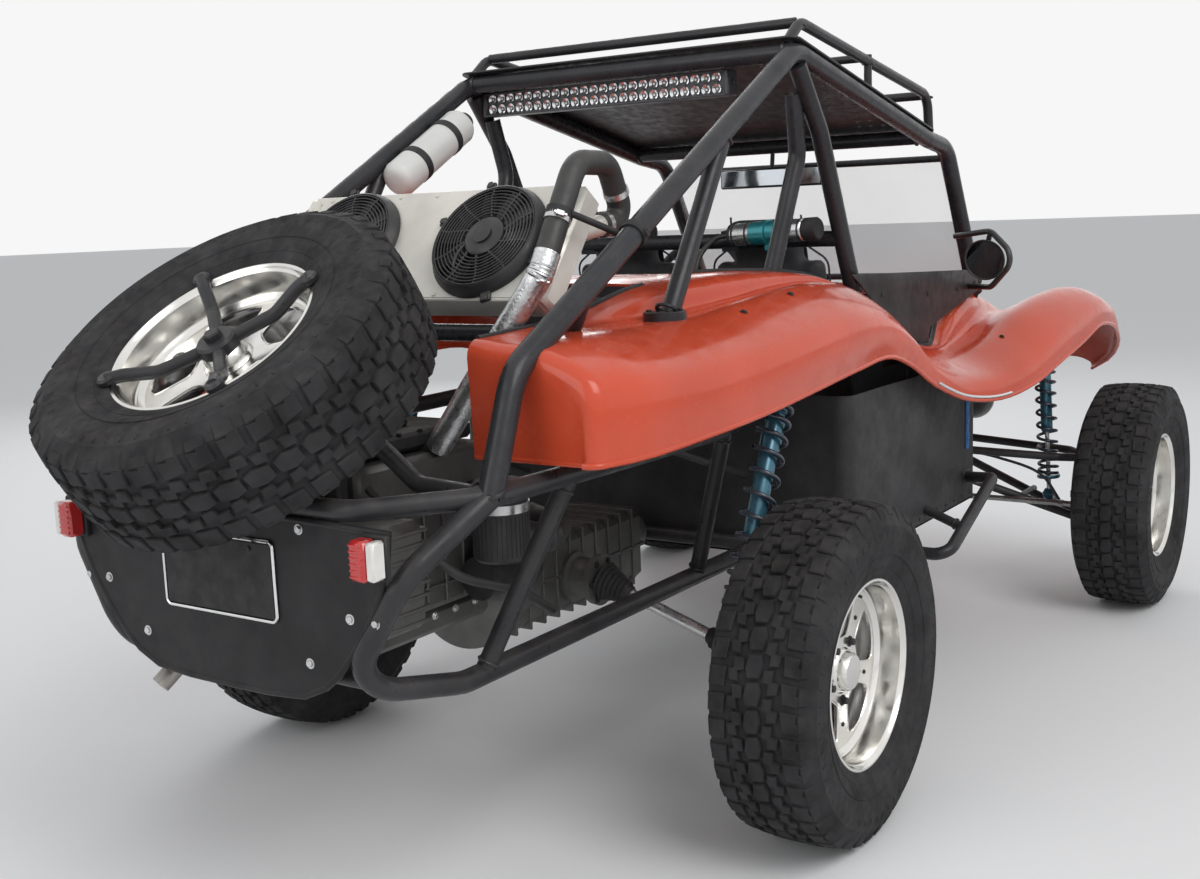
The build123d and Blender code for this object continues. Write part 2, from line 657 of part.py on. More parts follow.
def coolant_hose():
    """Hose over the radiator's right end and down to the engine."""
    y = -RAD_HALF_W + 30
    return bent([(-240, y, 1347), (-128, y, 1362), (-205, y - 14, 1478), (-345, y - 30, 1478),
                 (-466, y - 22, 1262), (-506, -312, 1135), (-480, -110, 900)], 26, 62)


def canister():
    """Pale bottle strapped to the left diagonal."""
    a, b = diagonal_at(330), diagonal_at(40)
    return rod((a[0], a[1] - 62, a[2] - 48), (b[0], b[1] - 62, b[2] - 48), 48)


def reservoir():
    a, b = (664, -200, 1306), (640, -470, 1318)
    body = rod(a, b, 31)
    foot = box_at((640, 700), (-350, -310), (1262, 1290))
    return body.fuse(foot)


# engine
def engine():
    """Water-cooled engine behind the axle: block, heads, sump, front cover and accessories."""
    block = box_at((-760, -290), (-150, 190), (560, 800))
    head = box_at((-740, -310), (-120, 150), (800, 900))
    cover = box_at((-720, -330), (-90, 120), (900, 940))
    sump = box_at((-720, -330), (-120, 160), (500, 560))
    timing = box_at((-800, -760), (-130, 170), (540, 900))
    side_case = box_at((-900, -740), (-300, -140), (600, 820))
    pulleys = [rod((-827, y, z), (-795, y, z), r, sides=DRUM_SIDES)
               for y, z, r in ((20, 624, 80), (-70, 760, 45), (110, 760, 52))]
    starter = rod((-470, -190, 620), (-300, -190, 620), 48)
    return solid_of([block, head, cover, sump, timing, side_case, starter] + pulleys)


def intake():
    """Black canister on the right of the engine with its ribbed duct."""
    can = rod((-560, -330, 700), (-560, -330, 860), 56, sides=DRUM_SIDES)
    band = rod((-560, -330, 800), (-560, -330, 818), 60, sides=DRUM_SIDES)
    duct = bent([(-560, -330, 745), (-430, -350, 720), (-330, -300, 720), (-290, -120, 730)], 34, 60)
    return solid_of([can, band, duct])


def transaxle():
    case = box_at((-290, 330), (-110, 110), (420, 620))
    bell = rod((-289, 0, 560), (-150, 0, 540), 168, 122, DRUM_SIDES)
    nose = rod((326, 0, 520), (430, 0, 520), 70, 50)
    flanges = [rod((0, s * 105, DIFF_Z), (0, s * 190, DIFF_Z), 62, sides=DRUM_SIDES) for s in (-1, 1)]
    return solid_of([case, bell, nose] + flanges)


def exhaust():
    """Silencer across the tail, low behind the engine, with its pipes."""
    can = rod((-892, -80, 650), (-892, 240, 650), 50)
    pipe = bent([(-892, 225, 650), (-760, 240, 660), (-480, 236, 700)], 20, 60)
    flange = box_at((-540, -470), (190, 246), (670, 730))
    tip = bent([(-892, 200, 620), (-892, 220, 530), (-965, 240, 470)], 20, 30)
    return solid_of([can, pipe, flange, tip])


# tail
def tail_panel():
    outline = [(0, 520), (200, 528), (290, 580), (340, 640), (400, 740), (430, 850), (0, 858)]
    pts = [(y, z) for y, z in outline] + [(-y, z) for y, z in reversed(outline[1:-1])]
    return prism_x(pts, TAIL_X - 14, TAIL_X - 10)


PLATE_Z = 735.0
PLATE_HOLES_Y = 178.0
PLATE_HOLES_Z = 121.0
PLATE_HOLE_R = 3.5


def licence_plate():
    """Blank plate in its frame, with four holes."""
    x = TAIL_X - 14
    plate = box_at((x - 7, x), (-155, 155), (PLATE_Z - 79, PLATE_Z + 79))
    holes = [pin((x - 12, sy * PLATE_HOLES_Y / 2, PLATE_Z + sz * PLATE_HOLES_Z / 2),
                 (x + 3, sy * PLATE_HOLES_Y / 2, PLATE_Z + sz * PLATE_HOLES_Z / 2), PLATE_HOLE_R)
             for sy in (-1, 1) for sz in (-1, 1)]
    return plate.cut(*holes)


def tail_lamps():
    x = TAIL_X - 14
    return [box_at((x - 48, x), (s * 405 - 30, s * 405 + 30), (770, 850)) for s in (-1, 1)]


SPARE_ARM_TURN = 45.0


def spare_carrier():
    """Post and plate under the spare wheel, with legs to the tail of the frame."""
    at = spare_plane().location
    post = at * drum(30, -180, -26, TUBE_SIDES)
    plate = at * drum(60, -32, -20)
    legs = [bent([(at * Pos(0, s * 12, -150)).position, (-700, s * 120, 960),
                  (-760, s * 300, 884),
                  (-800, s * 488, 885)], BRACE_R - 3, 60) for s in (-1, 1)]
    return solid_of([post, plate] + legs)


def spare_star():
    """Four arms rising from the hub to the rim's lip."""
    at = spare_plane().location
    rise, reach = RIM_HALF_W + 8.7 - 66, RIM_LIP_R - 6
    slope = math.degrees(math.atan2(rise, reach))
    arms = [at * (Rot(0, 0, SPARE_ARM_TURN + 90 * k) * Pos(reach / 2, 0, 66 + rise / 2) * Rot(0, -slope, 0)
                  * Box(math.hypot(reach, rise), 20, 16)) for k in range(4)]
    hub = at * drum(28, RIM_FACE_A + 26, 84, TUBE_SIDES)
    return solid_of([hub] + arms)


# outside fittings
def side_bar():
    loop = bent([(1350, TUB_HALF_W, 552), (1190, 750, 585), (820, 750, 440), (860, 560, 430),
                 (870, 500, 462)], 17, 40)
    stay = rod((1000, TUB_HALF_W, 520), (945, 750, 490), 13)
    return loop.fuse(stay)


def headlamp():
    cup = rod((FRAME_FRONT_X + 20, 250, 640), (FRAME_FRONT_X + 110, 250, 640), 50, 85)
    stalk = rod((FRAME_FRONT_X + 40, 230, 640), (FRAME_FRONT_X, RAIL_FRONT_Y - 20, RAIL_Z), 12)
    return cup.fuse(stalk)


def coilover(top, low, body_r, coil_r, wire_r):
    """Damper tube with its rod, seats and eyes, and a sleeve of the coil's outer size."""
    a, b = vec(top), vec(low)
    axis = (b - a).normalized()
    length = (b - a).length
    tube = rod(a, a + axis * (0.62 * length), body_r)
    shaft = rod(a, b, body_r * 0.4)
    seats = [rod(a + axis * s, a + axis * (s + 12), coil_r + 2, sides=DRUM_SIDES) for s in (50, length - 70)]
    eyes = [rod((p[0], p[1] - 16, p[2]), (p[0], p[1] + 16, p[2]), 20) for p in (top, low)]
    sleeve_plane = Plane(origin=a + axis * 62.3, z_dir=axis)
    sleeve_len = length - 70 - 62 - 0.6
    sleeve = sleeve_plane.location * turned([
        (coil_r, 0), (coil_r, sleeve_len), (coil_r - 2 * wire_r, sleeve_len), (coil_r - 2 * wire_r, 0),
    ], Plane.XY)
    return tube.fuse(shaft, *seats, *eyes), sleeve


# suspension
def rear_arm():
    """Trailing arm from its pivot ahead of the axle to the hub carrier."""
    arm = bent([(560, 400, 440), (330, 470, 430), (30, 585, 390)], 34, 120)
    carrier = rod((0, 560, AXLE_Z), (0, HUB_Y, AXLE_Z), 75, sides=DRUM_SIDES)
    foot = box_at((-160, 20), (575, 625), (372, 432))
    pivot = rod((560, 340, 440), (560, 460, 440), 30)
    brake = rod((0, HUB_Y, AXLE_Z), (0, HUB_Y + 80, AXLE_Z), 118, sides=DRUM_SIDES)
    stub = pin((0, HUB_Y - 20, AXLE_Z), (0, REAR_HALF_TRACK + 20, AXLE_Z), HUB_BORE_R - PIN_FIT)
    return solid_of([arm, carrier, foot, pivot, brake, stub])


def half_shaft():
    """Drive shaft with a ribbed boot at each end."""
    start, end = (0, 190, DIFF_Z), (0, 560, AXLE_Z + 8)
    shaft = rod(start, end, 14)
    boots = [rod((0, 190, DIFF_Z), (0, 270, DIFF_Z - 28), 50, 24),
             rod((0, 560, AXLE_Z + 8), (0, 480, 405), 52, 24)]
    return solid_of([shaft] + boots)


EYE_HALF = 13.0
KING_PIN_R = 12.0


def king_eyes():
    """Heights of the upper and lower outer eyes of the wishbones."""
    lift = KING_HALF_H + MOVE_GAP + EYE_HALF
    return AXLE_Z + lift, AXLE_Z - lift


def front_arms():
    """Upper and lower wishbones of one side, with their outer eyes."""
    x = WHEELBASE
    up, low = king_eyes()
    outer = KING_Y - 24
    legs = [
        bent([(x, outer, up), (x - 78, outer - 80, up + 10), (x - 166, 322, RAIL_Z + 8)],
             14, 40, THIN_SIDES),
        bent([(x, outer, up), (x + 78, outer - 80, up + 10), (x + 124, 228, RAIL_Z + 8)],
             14, 40, THIN_SIDES),
        rod((x, outer, low), (x - 176, 328, ARM_TUBE_Z), 15, sides=THIN_SIDES),
        rod((x, outer, low), (x + 154, 260, ARM_TUBE_Z), 15, sides=THIN_SIDES),
    ]
    eyes = [rod((x, KING_Y, z - EYE_HALF), (x, KING_Y, z + EYE_HALF), 26, sides=DRUM_SIDES)
            for z in (up, low)]
    shock_y, shock_z = FRONT_SHOCK_LOW[1], FRONT_SHOCK_LOW[2] - 29
    shock_pin = rod((x - 74, shock_y, shock_z), (x + 66, shock_y, shock_z), 10)
    holes = [pin((x, KING_Y, z - 30), (x, KING_Y, z + 30), KING_PIN_R) for z in (up, low)]
    upper = solid_of(legs[:2] + eyes[:1]).cut(holes[0])
    return [upper, solid_of(legs[2:] + eyes[1:] + [shock_pin]).cut(holes[1])]


def knuckle():
    """Upright with its king pins, stub axle, drum and steering arm."""
    x = WHEELBASE
    half = KING_HALF_H
    post = rod((x, KING_Y, AXLE_Z - half), (x, KING_Y, AXLE_Z + half), 22)
    up, low = king_eyes()
    king = pin((x, KING_Y, low - EYE_HALF - 2), (x, KING_Y, up + EYE_HALF + 2), KING_PIN_R - PIN_FIT)
    brake = rod((x, KING_Y + 12, AXLE_Z), (x, KING_Y + 70, AXLE_Z), 90, sides=DRUM_SIDES)
    stub = pin((x, KING_Y, AXLE_Z), (x, FRONT_HALF_TRACK + 20, AXLE_Z), HUB_BORE_R - PIN_FIT)
    arm = rod((x, KING_Y, RACK_Z + 24), (x - STEER_ARM, KING_Y - 30, RACK_Z + 24), 13)
    eye = rod((x - STEER_ARM, KING_Y - 30, RACK_Z + 11), (x - STEER_ARM, KING_Y - 30, RACK_Z + 37), 19)
    return solid_of([post, king, brake, stub, arm, eye])


def tie_rods():
    """Sliding rack bar with a rod and eye on each end, under the steering arms."""
    x = WHEELBASE - STEER_ARM
    bar = rod((x, -KING_Y + 30, RACK_Z - 12), (x, KING_Y - 30, RACK_Z - 12), 10)
    thick = pin((x, -300, RACK_Z - 12), (x, 300, RACK_Z - 12), RACK_BAR_R - PIN_FIT)
    eyes = [rod((x, s * (KING_Y - 30), RACK_Z - 24), (x, s * (KING_Y - 30), RACK_Z), 18) for s in (-1, 1)]
    return solid_of([bar, thick] + eyes)


# assembly
def wheel_set():
    parts = {}
    corners = [("rear_left", 0, REAR_HALF_TRACK), ("rear_right", 0, -REAR_HALF_TRACK),
               ("front_left", WHEELBASE, FRONT_HALF_TRACK), ("front_right", WHEELBASE, -FRONT_HALF_TRACK)]
    for name, x, y in corners:
        plane = side_plane(x, y, AXLE_Z)
        parts["tyre_" + name] = [tyre(plane)]
        parts["rim_" + name] = [rim(plane)]
    parts["spare_tyre"] = [tyre(spare_plane())]
    parts["spare_rim"] = [rim(spare_plane(), bored=False)]
    return parts


def assembly():
    parts = wheel_set()
    frame_tubes = cage()
    rails = chassis().cut(frame_tubes)
    rear_body, rear_coil = coilover(REAR_SHOCK_TOP, REAR_SHOCK_LOW, 22, 41, 5.5)
    front_body, front_coil = coilover(FRONT_SHOCK_TOP, FRONT_SHOCK_LOW, 20, 37, 5.0)
    shell = body_shell()
    column = steering_column()
    gearbox = solid_of([transaxle()] + pair(half_shaft()))
    rack_rails = roof_rack().cut(frame_tubes)
    shafts_clear = [largest(a.cut(gearbox, rails)) for a in pair(rear_arm())]
    carrier = spare_carrier()
    parts["cage"] = [frame_tubes]
    parts["chassis"] = [rails]
    parts["body_shell"] = [shell.cut(frame_tubes, rails, column)]
    parts["tub"] = [largest(p.cut(frame_tubes, rails, column)) for p in tub()]
    parts["tub"] += [largest(p.cut(frame_tubes, shell)) for p in pair(side_panel())]
    parts["roof_panel"] = [roof_panel().cut(frame_tubes, rack_rails)]
    parts["roof_rack"] = [rack_rails]
    parts["light_bar"] = [light_bar().cut(frame_tubes)]
    parts["seats"] = seat(SEAT_Y) + seat(-SEAT_Y)
    parts["dash"] = [dash().cut(frame_tubes, shell, column)]
    parts["steering_column"] = [column]
    parts["steering_wheel"] = [steering_wheel()]
    parts["windscreen_glass"] = [windscreen_glass().cut(frame_tubes)]
    panels = pair(side_panel())
    parts["mirrors"] = [largest(m.cut(frame_tubes, *panels)) for m in mirrors()]
    parts["mirrors"] += [rear_view_mirror().cut(frame_tubes)]
    parts["radiator"] = [radiator().cut(frame_tubes)]
    parts["radiator_fans"] = fans()
    parts["coolant_hose"] = [largest(coolant_hose().cut(radiator(), engine(), frame_tubes))]
    parts["canister"] = [canister().cut(frame_tubes)]
    parts["reservoir"] = [reservoir().cut(frame_tubes)]
    parts["engine"] = [engine()]
    parts["intake"] = [intake().cut(engine())]
    parts["transaxle"] = [gearbox.cut(rails)]
    parts["exhaust"] = [exhaust().cut(rails, engine())]
    parts["tail_panel"] = [tail_panel().cut(rails)]
    parts["licence_plate"] = [licence_plate()]
    parts["tail_lamps"] = tail_lamps()
    parts["spare_carrier"] = [largest(carrier.cut(rails, frame_tubes, engine())), spare_star()]
    parts["side_bars"] = [largest(n.cut(*tub())) for n in pair(side_bar())]
    parts["headlamps"] = [h.cut(rails) for h in pair(headlamp())]
    parts["rear_arms"] = shafts_clear
    parts["front_arms"] = [largest(a.cut(rails)) for wishbone in front_arms() for a in pair(wishbone)]
    parts["knuckle_left"], parts["knuckle_right"] = [knuckle()], [mirror_y(knuckle())]
    parts["tie_rods"] = [tie_rods()]
    parts["dampers"] = [d.cut(rails, *shafts_clear) for d in pair(rear_body)]
    parts["dampers"] += [d.cut(rails, *parts["front_arms"]) for d in pair(front_body)]
    parts["springs"] = pair(rear_coil) + pair(front_coil)
    return parts


def largest(shape):
    return max(shape.solids(), key=lambda piece: piece.volume)


def solids_in(shapes):
    found = []
    for shape in shapes:
        found.extend(shape.solids())
    return found


def main():
    os.makedirs("parts", exist_ok=True)
    for name, shapes in assembly().items():
        moved = [Pos(-ORIGIN_X, 0, 0) * s for s in solids_in(shapes)]
        export_step(Compound(children=moved), "parts/" + name + ".step")


if __name__ == "__main__":
    main()
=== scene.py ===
"""Looks of the dune buggy: round tubes, wheels, shell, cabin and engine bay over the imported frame."""
import json
import random
from math import atan2, copysign, cos, hypot, pi, radians, sin, tan, tau

import bmesh
import bpy
from mathutils import Matrix, Vector


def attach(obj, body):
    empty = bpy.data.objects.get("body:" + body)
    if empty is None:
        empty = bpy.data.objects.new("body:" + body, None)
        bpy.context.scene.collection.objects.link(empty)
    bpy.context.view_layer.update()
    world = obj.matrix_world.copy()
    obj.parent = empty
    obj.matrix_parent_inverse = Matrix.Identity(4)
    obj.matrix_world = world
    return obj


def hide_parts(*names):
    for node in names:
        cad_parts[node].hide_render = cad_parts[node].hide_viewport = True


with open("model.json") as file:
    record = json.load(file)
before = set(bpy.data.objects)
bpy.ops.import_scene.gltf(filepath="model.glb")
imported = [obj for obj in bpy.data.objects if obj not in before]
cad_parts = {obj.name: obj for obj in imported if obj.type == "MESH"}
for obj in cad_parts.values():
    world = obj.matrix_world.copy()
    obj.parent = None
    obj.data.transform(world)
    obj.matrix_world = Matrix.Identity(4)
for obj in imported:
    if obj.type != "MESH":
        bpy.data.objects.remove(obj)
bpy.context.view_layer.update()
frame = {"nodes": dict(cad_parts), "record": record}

# Places are in mm of the rear axle's frame: x ahead of the rear axle, y to the left, z above the floor.
ORIGIN_X = 670.0
WHEELBASE = 2166.0
REAR_HALF_TRACK = 781.0
FRONT_HALF_TRACK = 917.0
TYRE_R = 375.0
AXLE_Z = TYRE_R
KING_Y = FRONT_HALF_TRACK - 127
CAGE_Y = 500.0
FOOT_X = -189.0
DECK_Z = 880.0
ARC_STEP = radians(9)
WELD_SIDES = 28
ROOF_REAR = (441, CAGE_Y, 1746)
ROOF_FRONT = (1335, CAGE_Y, 1560)
KNEE = (-716, CAGE_Y, 1098)
TAIL_NODE = (-800, CAGE_Y, 885)
RAIL_Z = 511.0
COLOURS = {m["slot"]: m["base_color"] for m in frame["record"]["materials"]}
random.seed(7)


# points and matrices
def flip(p):
    return (p[0], -p[1], p[2])


def mix(a, b, t):
    return tuple(p + (q - p) * t for p, q in zip(a, b))


def diagonal_at(x):
    """Point on the long rear diagonal of the cage."""
    return mix(ROOF_REAR, KNEE, (x - ROOF_REAR[0]) / (KNEE[0] - ROOF_REAR[0]))


def placed(origin, z_axis, x_hint=(1, 0, 0)):
    """Matrix of a local frame whose z runs along z_axis."""
    z = Vector(z_axis).normalized()
    x = Vector(x_hint)
    x = (x - z * x.dot(z)).normalized()
    y = z.cross(x)
    return Matrix.Translation(Vector(origin)) @ Matrix((x, y, z)).transposed().to_4x4()


def polar(radius, angle, height):
    return Vector((radius * cos(angle), radius * sin(angle), height))


def span(a, b, side):
    """Limits of a block on the side given as 1 or -1."""
    return sorted((a * side, b * side))


def soft_corners(x0, x1, half, corner, step):
    """Loop round a rectangle with rounded corners; step is in degrees."""
    return [(cx + corner * cos(radians(start + a)), cy + corner * sin(radians(start + a)))
            for cx, cy, start in ((x1 - corner, half - corner, 0), (x0 + corner, half - corner, 90),
                                  (x0 + corner, corner - half, 180), (x1 - corner, corner - half, 270))
            for a in range(0, 91, step)]


def rounded(points, bend):
    """Path through the points with each inner corner rounded to the bend's radius."""
    pts = [Vector(p) for p in points]
    out = [pts[0]]
    for a, b, c in zip(pts, pts[1:], pts[2:]):
        u, v = (a - b).normalized(), (c - b).normalized()
        turn = pi - u.angle(v)
        if turn < 0.03:
            out.append(b)
            continue
        reach = min(bend * tan(turn / 2), 0.48 * (a - b).length, 0.48 * (c - b).length)
        radius = reach / tan(turn / 2)
        centre = b + (u + v).normalized() * (radius / cos(turn / 2))
        arm = b + u * reach - centre
        axis = arm.cross(b + v * reach - centre).normalized()
        steps = max(2, round(turn / ARC_STEP))
        out += [centre + Matrix.Rotation(turn * i / steps, 3, axis) @ arm for i in range(steps + 1)]
    return out + [pts[-1]]


def spline(a, b, c, d, t):
    """Value between b and c on a smooth curve through four values."""
    return 0.5 * (2 * b + (c - a) * t + (2 * a - 5 * b + 4 * c - d) * t * t
                  + (3 * b - a - 3 * c + d) * t ** 3)


def soft_points(control, per_span):
    """Points of a smooth curve through the control points."""
    pts, last = [], len(control) - 1
    for i in range(last):
        p0, p1 = control[max(i - 1, 0)], control[i]
        p2, p3 = control[i + 1], control[min(i + 2, last)]
        for k in range(per_span):
            t = k / per_span
            pts.append(tuple(spline(*four, t) for four in zip(p0, p1, p2, p3)))
    return pts + [tuple(control[-1])]


# meshes
class Form:
    """Collects the points and faces of one mesh, in mm."""

    def __init__(self):
        self.points, self.faces = [], []

    def add(self, points, faces, matrix=None):
        start = len(self.points)
        points = [Vector(p) for p in points]
        self.points += [matrix @ p for p in points] if matrix else points
        self.faces += [tuple(start + i for i in face) for face in faces]
        return self

    def join(self, other, matrix=None):
        return self.add(other.points, other.faces, matrix)

    def both_sides(self):
        """Adds the same shape mirrored to the other side."""
        return self.add([flip(p) for p in self.points], [face[::-1] for face in self.faces])

    def skin(self, rings, closed=False, caps=True):
        """Faces between rings that have equally many points."""
        n, count = len(rings[0]), len(rings)
        faces = [(i * n + k, i * n + (k + 1) % n, (i + 1) % count * n + (k + 1) % n,
                  (i + 1) % count * n + k) for i in range(count if closed else count - 1) for k in range(n)]
        if caps and not closed:
            faces += [tuple(range(n))[::-1], tuple((count - 1) * n + k for k in range(n))]
        return self.add([p for ring in rings for p in ring], faces)

    def tube(self, points, radius, bend=0, sides=18, closed=False):
        """Round bar along a path; radius is one value or one for each point."""
        path = rounded(points, bend) if bend else [Vector(p) for p in points]
        radii = radius if isinstance(radius, list) else [radius] * len(path)
        rings, side, n = [], None, len(path)
        for i, p in enumerate(path):
            before = path[i - 1] if i or closed else p
            after = path[(i + 1) % n] if i < n - 1 or closed else p
            t = (after - before).normalized()
            side = (side if side else t.orthogonal()).normalized()
            side = (side - t * side.dot(t)).normalized()
            up = t.cross(side)
            rings.append([p + (side * cos(a) + up * sin(a)) * radii[i]
                          for a in (tau * k / sides for k in range(sides))])
        return self.skin(rings, closed)

    def lathe(self, profile, matrix, sides=48, closed=True):
        """Profile of (radius, height) turned about the matrix's z axis."""
        rings = [[matrix @ polar(r, a, h) for r, h in profile]
                 for a in (tau * k / sides for k in range(sides))]
        n = len(profile)
        faces = [(i * n + k, i * n + (k + 1) % n, (i + 1) % sides * n + (k + 1) % n,
                  (i + 1) % sides * n + k) for i in range(sides) for k in range(n if closed else n - 1)]
        return self.add([p for ring in rings for p in ring], faces)

    def disc(self, matrix, radius, low, high, edge=1.5, sides=32):
        """Solid round disc with a broken edge."""
        rings = [[matrix @ polar(r, a, h)
                  for a in (tau * k / sides for k in range(sides))]
                 for r, h in ((radius - edge, low), (radius, low + edge), (radius, high - edge),
                              (radius - edge, high))]
        return self.skin(rings)

    def bolt(self, origin, axis, size=9.0, height=8.0):
        """Hexagon head on a washer."""
        m = placed(origin, axis, Vector(axis).orthogonal())
        self.disc(m, size * 1.45, 0, height * 0.2, 0.4, 20)
        return self.disc(m, size, height * 0.2, height, size * 0.12, 6)

    def block(self, x, y, z, edge=3.0, matrix=None):
        """Box between pairs of limits with broken edges."""
        mid = [(a + b) / 2 for a, b in (x, y, z)]
        half = [abs(b - a) / 2 for a, b in (x, y, z)]
        edge = min([edge] + [0.45 * h for h in half])
        points, index = [], {}
        for corner in [(i, j, k) for i in (-1, 1) for j in (-1, 1) for k in (-1, 1)]:
            for axis in range(3):
                index[corner, axis] = len(points)
                points.append([mid[d] + corner[d] * (half[d] - (0 if d == axis else edge))
                               for d in range(3)])
        faces = [tuple(index[c, axis] for axis in range(3)) for c in {key[0] for key in index}]
        for axis in range(3):
            u, v = (axis + 1) % 3, (axis + 2) % 3
            for s in (-1, 1):
                ring = []
                for a, b in ((-1, -1), (1, -1), (1, 1), (-1, 1)):
                    corner = [0, 0, 0]
                    corner[axis], corner[u], corner[v] = s, a, b
                    ring.append(tuple(corner))
                faces.append(tuple(index[c, axis] for c in ring))
                for c, d in zip(ring, ring[1:] + ring[:1]):
                    other = u if c[u] == d[u] else v
                    faces.append((index[c, axis], index[d, axis], index[d, other], index[c, other]))
        unique = {tuple(sorted(f)): f for f in faces}
        return self.add(points, unique.values(), matrix)

    def plate(self, outline, low, high, matrix=None, holes=(), edge=1.0):
        """Flat plate with holes and broken edges, its outline in the matrix's x and y."""
        curve = bpy.data.curves.new("outline", "CURVE")
        curve.dimensions, curve.fill_mode = "2D", "BOTH"
        curve.extrude, curve.bevel_depth, curve.bevel_resolution = (high - low) / 2 - edge, edge, 0
        curve.offset = -edge
        for ring in [outline] + list(holes):
            spline = curve.splines.new("POLY")
            spline.points.add(len(ring) - 1)
            for point, (a, b) in zip(spline.points, ring):
                point.co = (a, b, 0, 1)
            spline.use_cyclic_u = True
        temp = bpy.data.objects.new("outline", curve)
        bpy.context.collection.objects.link(temp)
        mesh = bpy.data.meshes.new_from_object(temp.evaluated_get(bpy.context.evaluated_depsgraph_get()))
        rise = Matrix.Translation((0, 0, (low + high) / 2))
        self.add([v.co.copy() for v in mesh.vertices], [tuple(p.vertices) for p in mesh.polygons],
                 (matrix or Matrix()) @ rise)
        bpy.data.objects.remove(temp)
        bpy.data.curves.remove(curve)
        bpy.data.meshes.remove(mesh)
        return self

    def weld(self, centre, axis, radius, bead=4.5):
        """Weld bead around a tube."""
        m = placed(centre, axis, Vector(axis).orthogonal())
        ring = [m @ polar(radius, tau * k / WELD_SIDES, 0) for k in range(WELD_SIDES)]
        radii = [bead * random.uniform(0.82, 1.12) for _ in ring]
        return self.tube(ring, radii, sides=6, closed=True)


def ring_of(radius, count, centre=(0, 0), start=0.0):
    return [(centre[0] + radius * cos(start + tau * k / count),
             centre[1] + radius * sin(start + tau * k / count)) for k in range(count)]


def piece(name, form, slot, look=None, body="frame", hides=(), sharp=40):
    """Turns a form into an object that rides on a body."""
    mesh = bpy.data.meshes.new(name)
    mesh.from_pydata([((p[0] - ORIGIN_X) / 1000, p[1] / 1000, p[2] / 1000) for p in form.points], [],
                     form.faces)
    work = bmesh.new()
    work.from_mesh(mesh)
    bmesh.ops.remove_doubles(work, verts=work.verts, dist=2e-5)
    bmesh.ops.recalc_face_normals(work, faces=work.faces)
    work.to_mesh(mesh)
    work.free()
    mesh.shade_smooth()
    mesh.set_sharp_from_angle(angle=radians(sharp))
    mesh.materials.append(LOOKS[look or slot])
    obj = bpy.data.objects.new(name, mesh)
    bpy.context.collection.objects.link(obj)
    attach(obj, body)
    if hides:
        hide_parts(*hides)
    return obj


# materials
DUST = (0.3, 0.25, 0.2)


def surface(name, colour, rough=0.45, metal=0.0, mottle=0.18, patch=7.0, bump=0.15, grain=350.0, dust=0.12,
            coat=0.0, spread=0.12, alpha=1.0, stretch=(1, 1, 1), gloss=0.5):
    """Shader with colour patches, settled dust, uneven roughness and fine bump."""
    mat = bpy.data.materials.new(name)
    mat.use_nodes = True
    nodes, link = mat.node_tree.nodes, mat.node_tree.links.new
    shader = nodes["Principled BSDF"]
    shader.inputs["Metallic"].default_value = metal
    shader.inputs["Specular IOR Level"].default_value = gloss
    shader.inputs["Coat Weight"].default_value = coat
    shader.inputs["Coat Roughness"].default_value = 0.08
    shader.inputs["Alpha"].default_value = alpha
    coords = nodes.new("ShaderNodeTexCoord")
    mapping = nodes.new("ShaderNodeMapping")
    mapping.inputs["Scale"].default_value = stretch
    link(coords.outputs["Object"], mapping.inputs["Vector"])

    def noise(scale, detail):
        node = nodes.new("ShaderNodeTexNoise")
        node.inputs["Scale"].default_value = scale
        node.inputs["Detail"].default_value = detail
        link(mapping.outputs["Vector"], node.inputs["Vector"])
        return node.outputs["Fac"]

    def spanned(value, low, high, out_low, out_high):
        node = nodes.new("ShaderNodeMapRange")
        for socket, number in zip(("From Min", "From Max", "To Min", "To Max"),
                                  (low, high, out_low, out_high)):
            node.inputs[socket].default_value = number
        link(value, node.inputs["Value"])
        return node.outputs["Result"]

    def blended(factor, a, b):
        node = nodes.new("ShaderNodeMix")
        node.data_type = "RGBA"
        link(factor, node.inputs["Factor"])
        for socket, value in ((node.inputs["A"], a), (node.inputs["B"], b)):
            if hasattr(value, "is_linked"):
                link(value, socket)
            else:
                socket.default_value = (*value, 1)
        return node.outputs["Result"]

    patches = noise(patch, 6)
    dark = tuple(c * (1 - mottle) for c in colour[:3])
    light = tuple(min(1, c * (1 + mottle) + 0.006) for c in colour[:3])
    tint = blended(spanned(patches, 0.32, 0.68, 0, 1), dark, light)
    if dust:
        geometry = nodes.new("ShaderNodeNewGeometry")
        split = nodes.new("ShaderNodeSeparateXYZ")
        link(geometry.outputs["Normal"], split.inputs["Vector"])
        upward = spanned(split.outputs["Z"], -0.2, 1.0, 0.15, 1.0)
        product = nodes.new("ShaderNodeMath")
        product.operation = "MULTIPLY"
        link(upward, product.inputs[0])
        link(spanned(noise(patch * 3.1, 8), 0.38, 0.75, 0, dust * 1.1), product.inputs[1])
        tint = blended(product.outputs["Value"], tint, DUST)
    link(tint, shader.inputs["Base Color"])
    link(spanned(noise(patch * 5, 7), 0.3, 0.7, max(rough - spread, 0.03), min(rough + spread, 1)),
         shader.inputs["Roughness"])
    relief = nodes.new("ShaderNodeBump")
    relief.inputs["Strength"].default_value = bump
    relief.inputs["Distance"].default_value = 0.001
    link(noise(grain, 3), relief.inputs["Height"])
    link(relief.outputs["Normal"], shader.inputs["Normal"])
    return mat


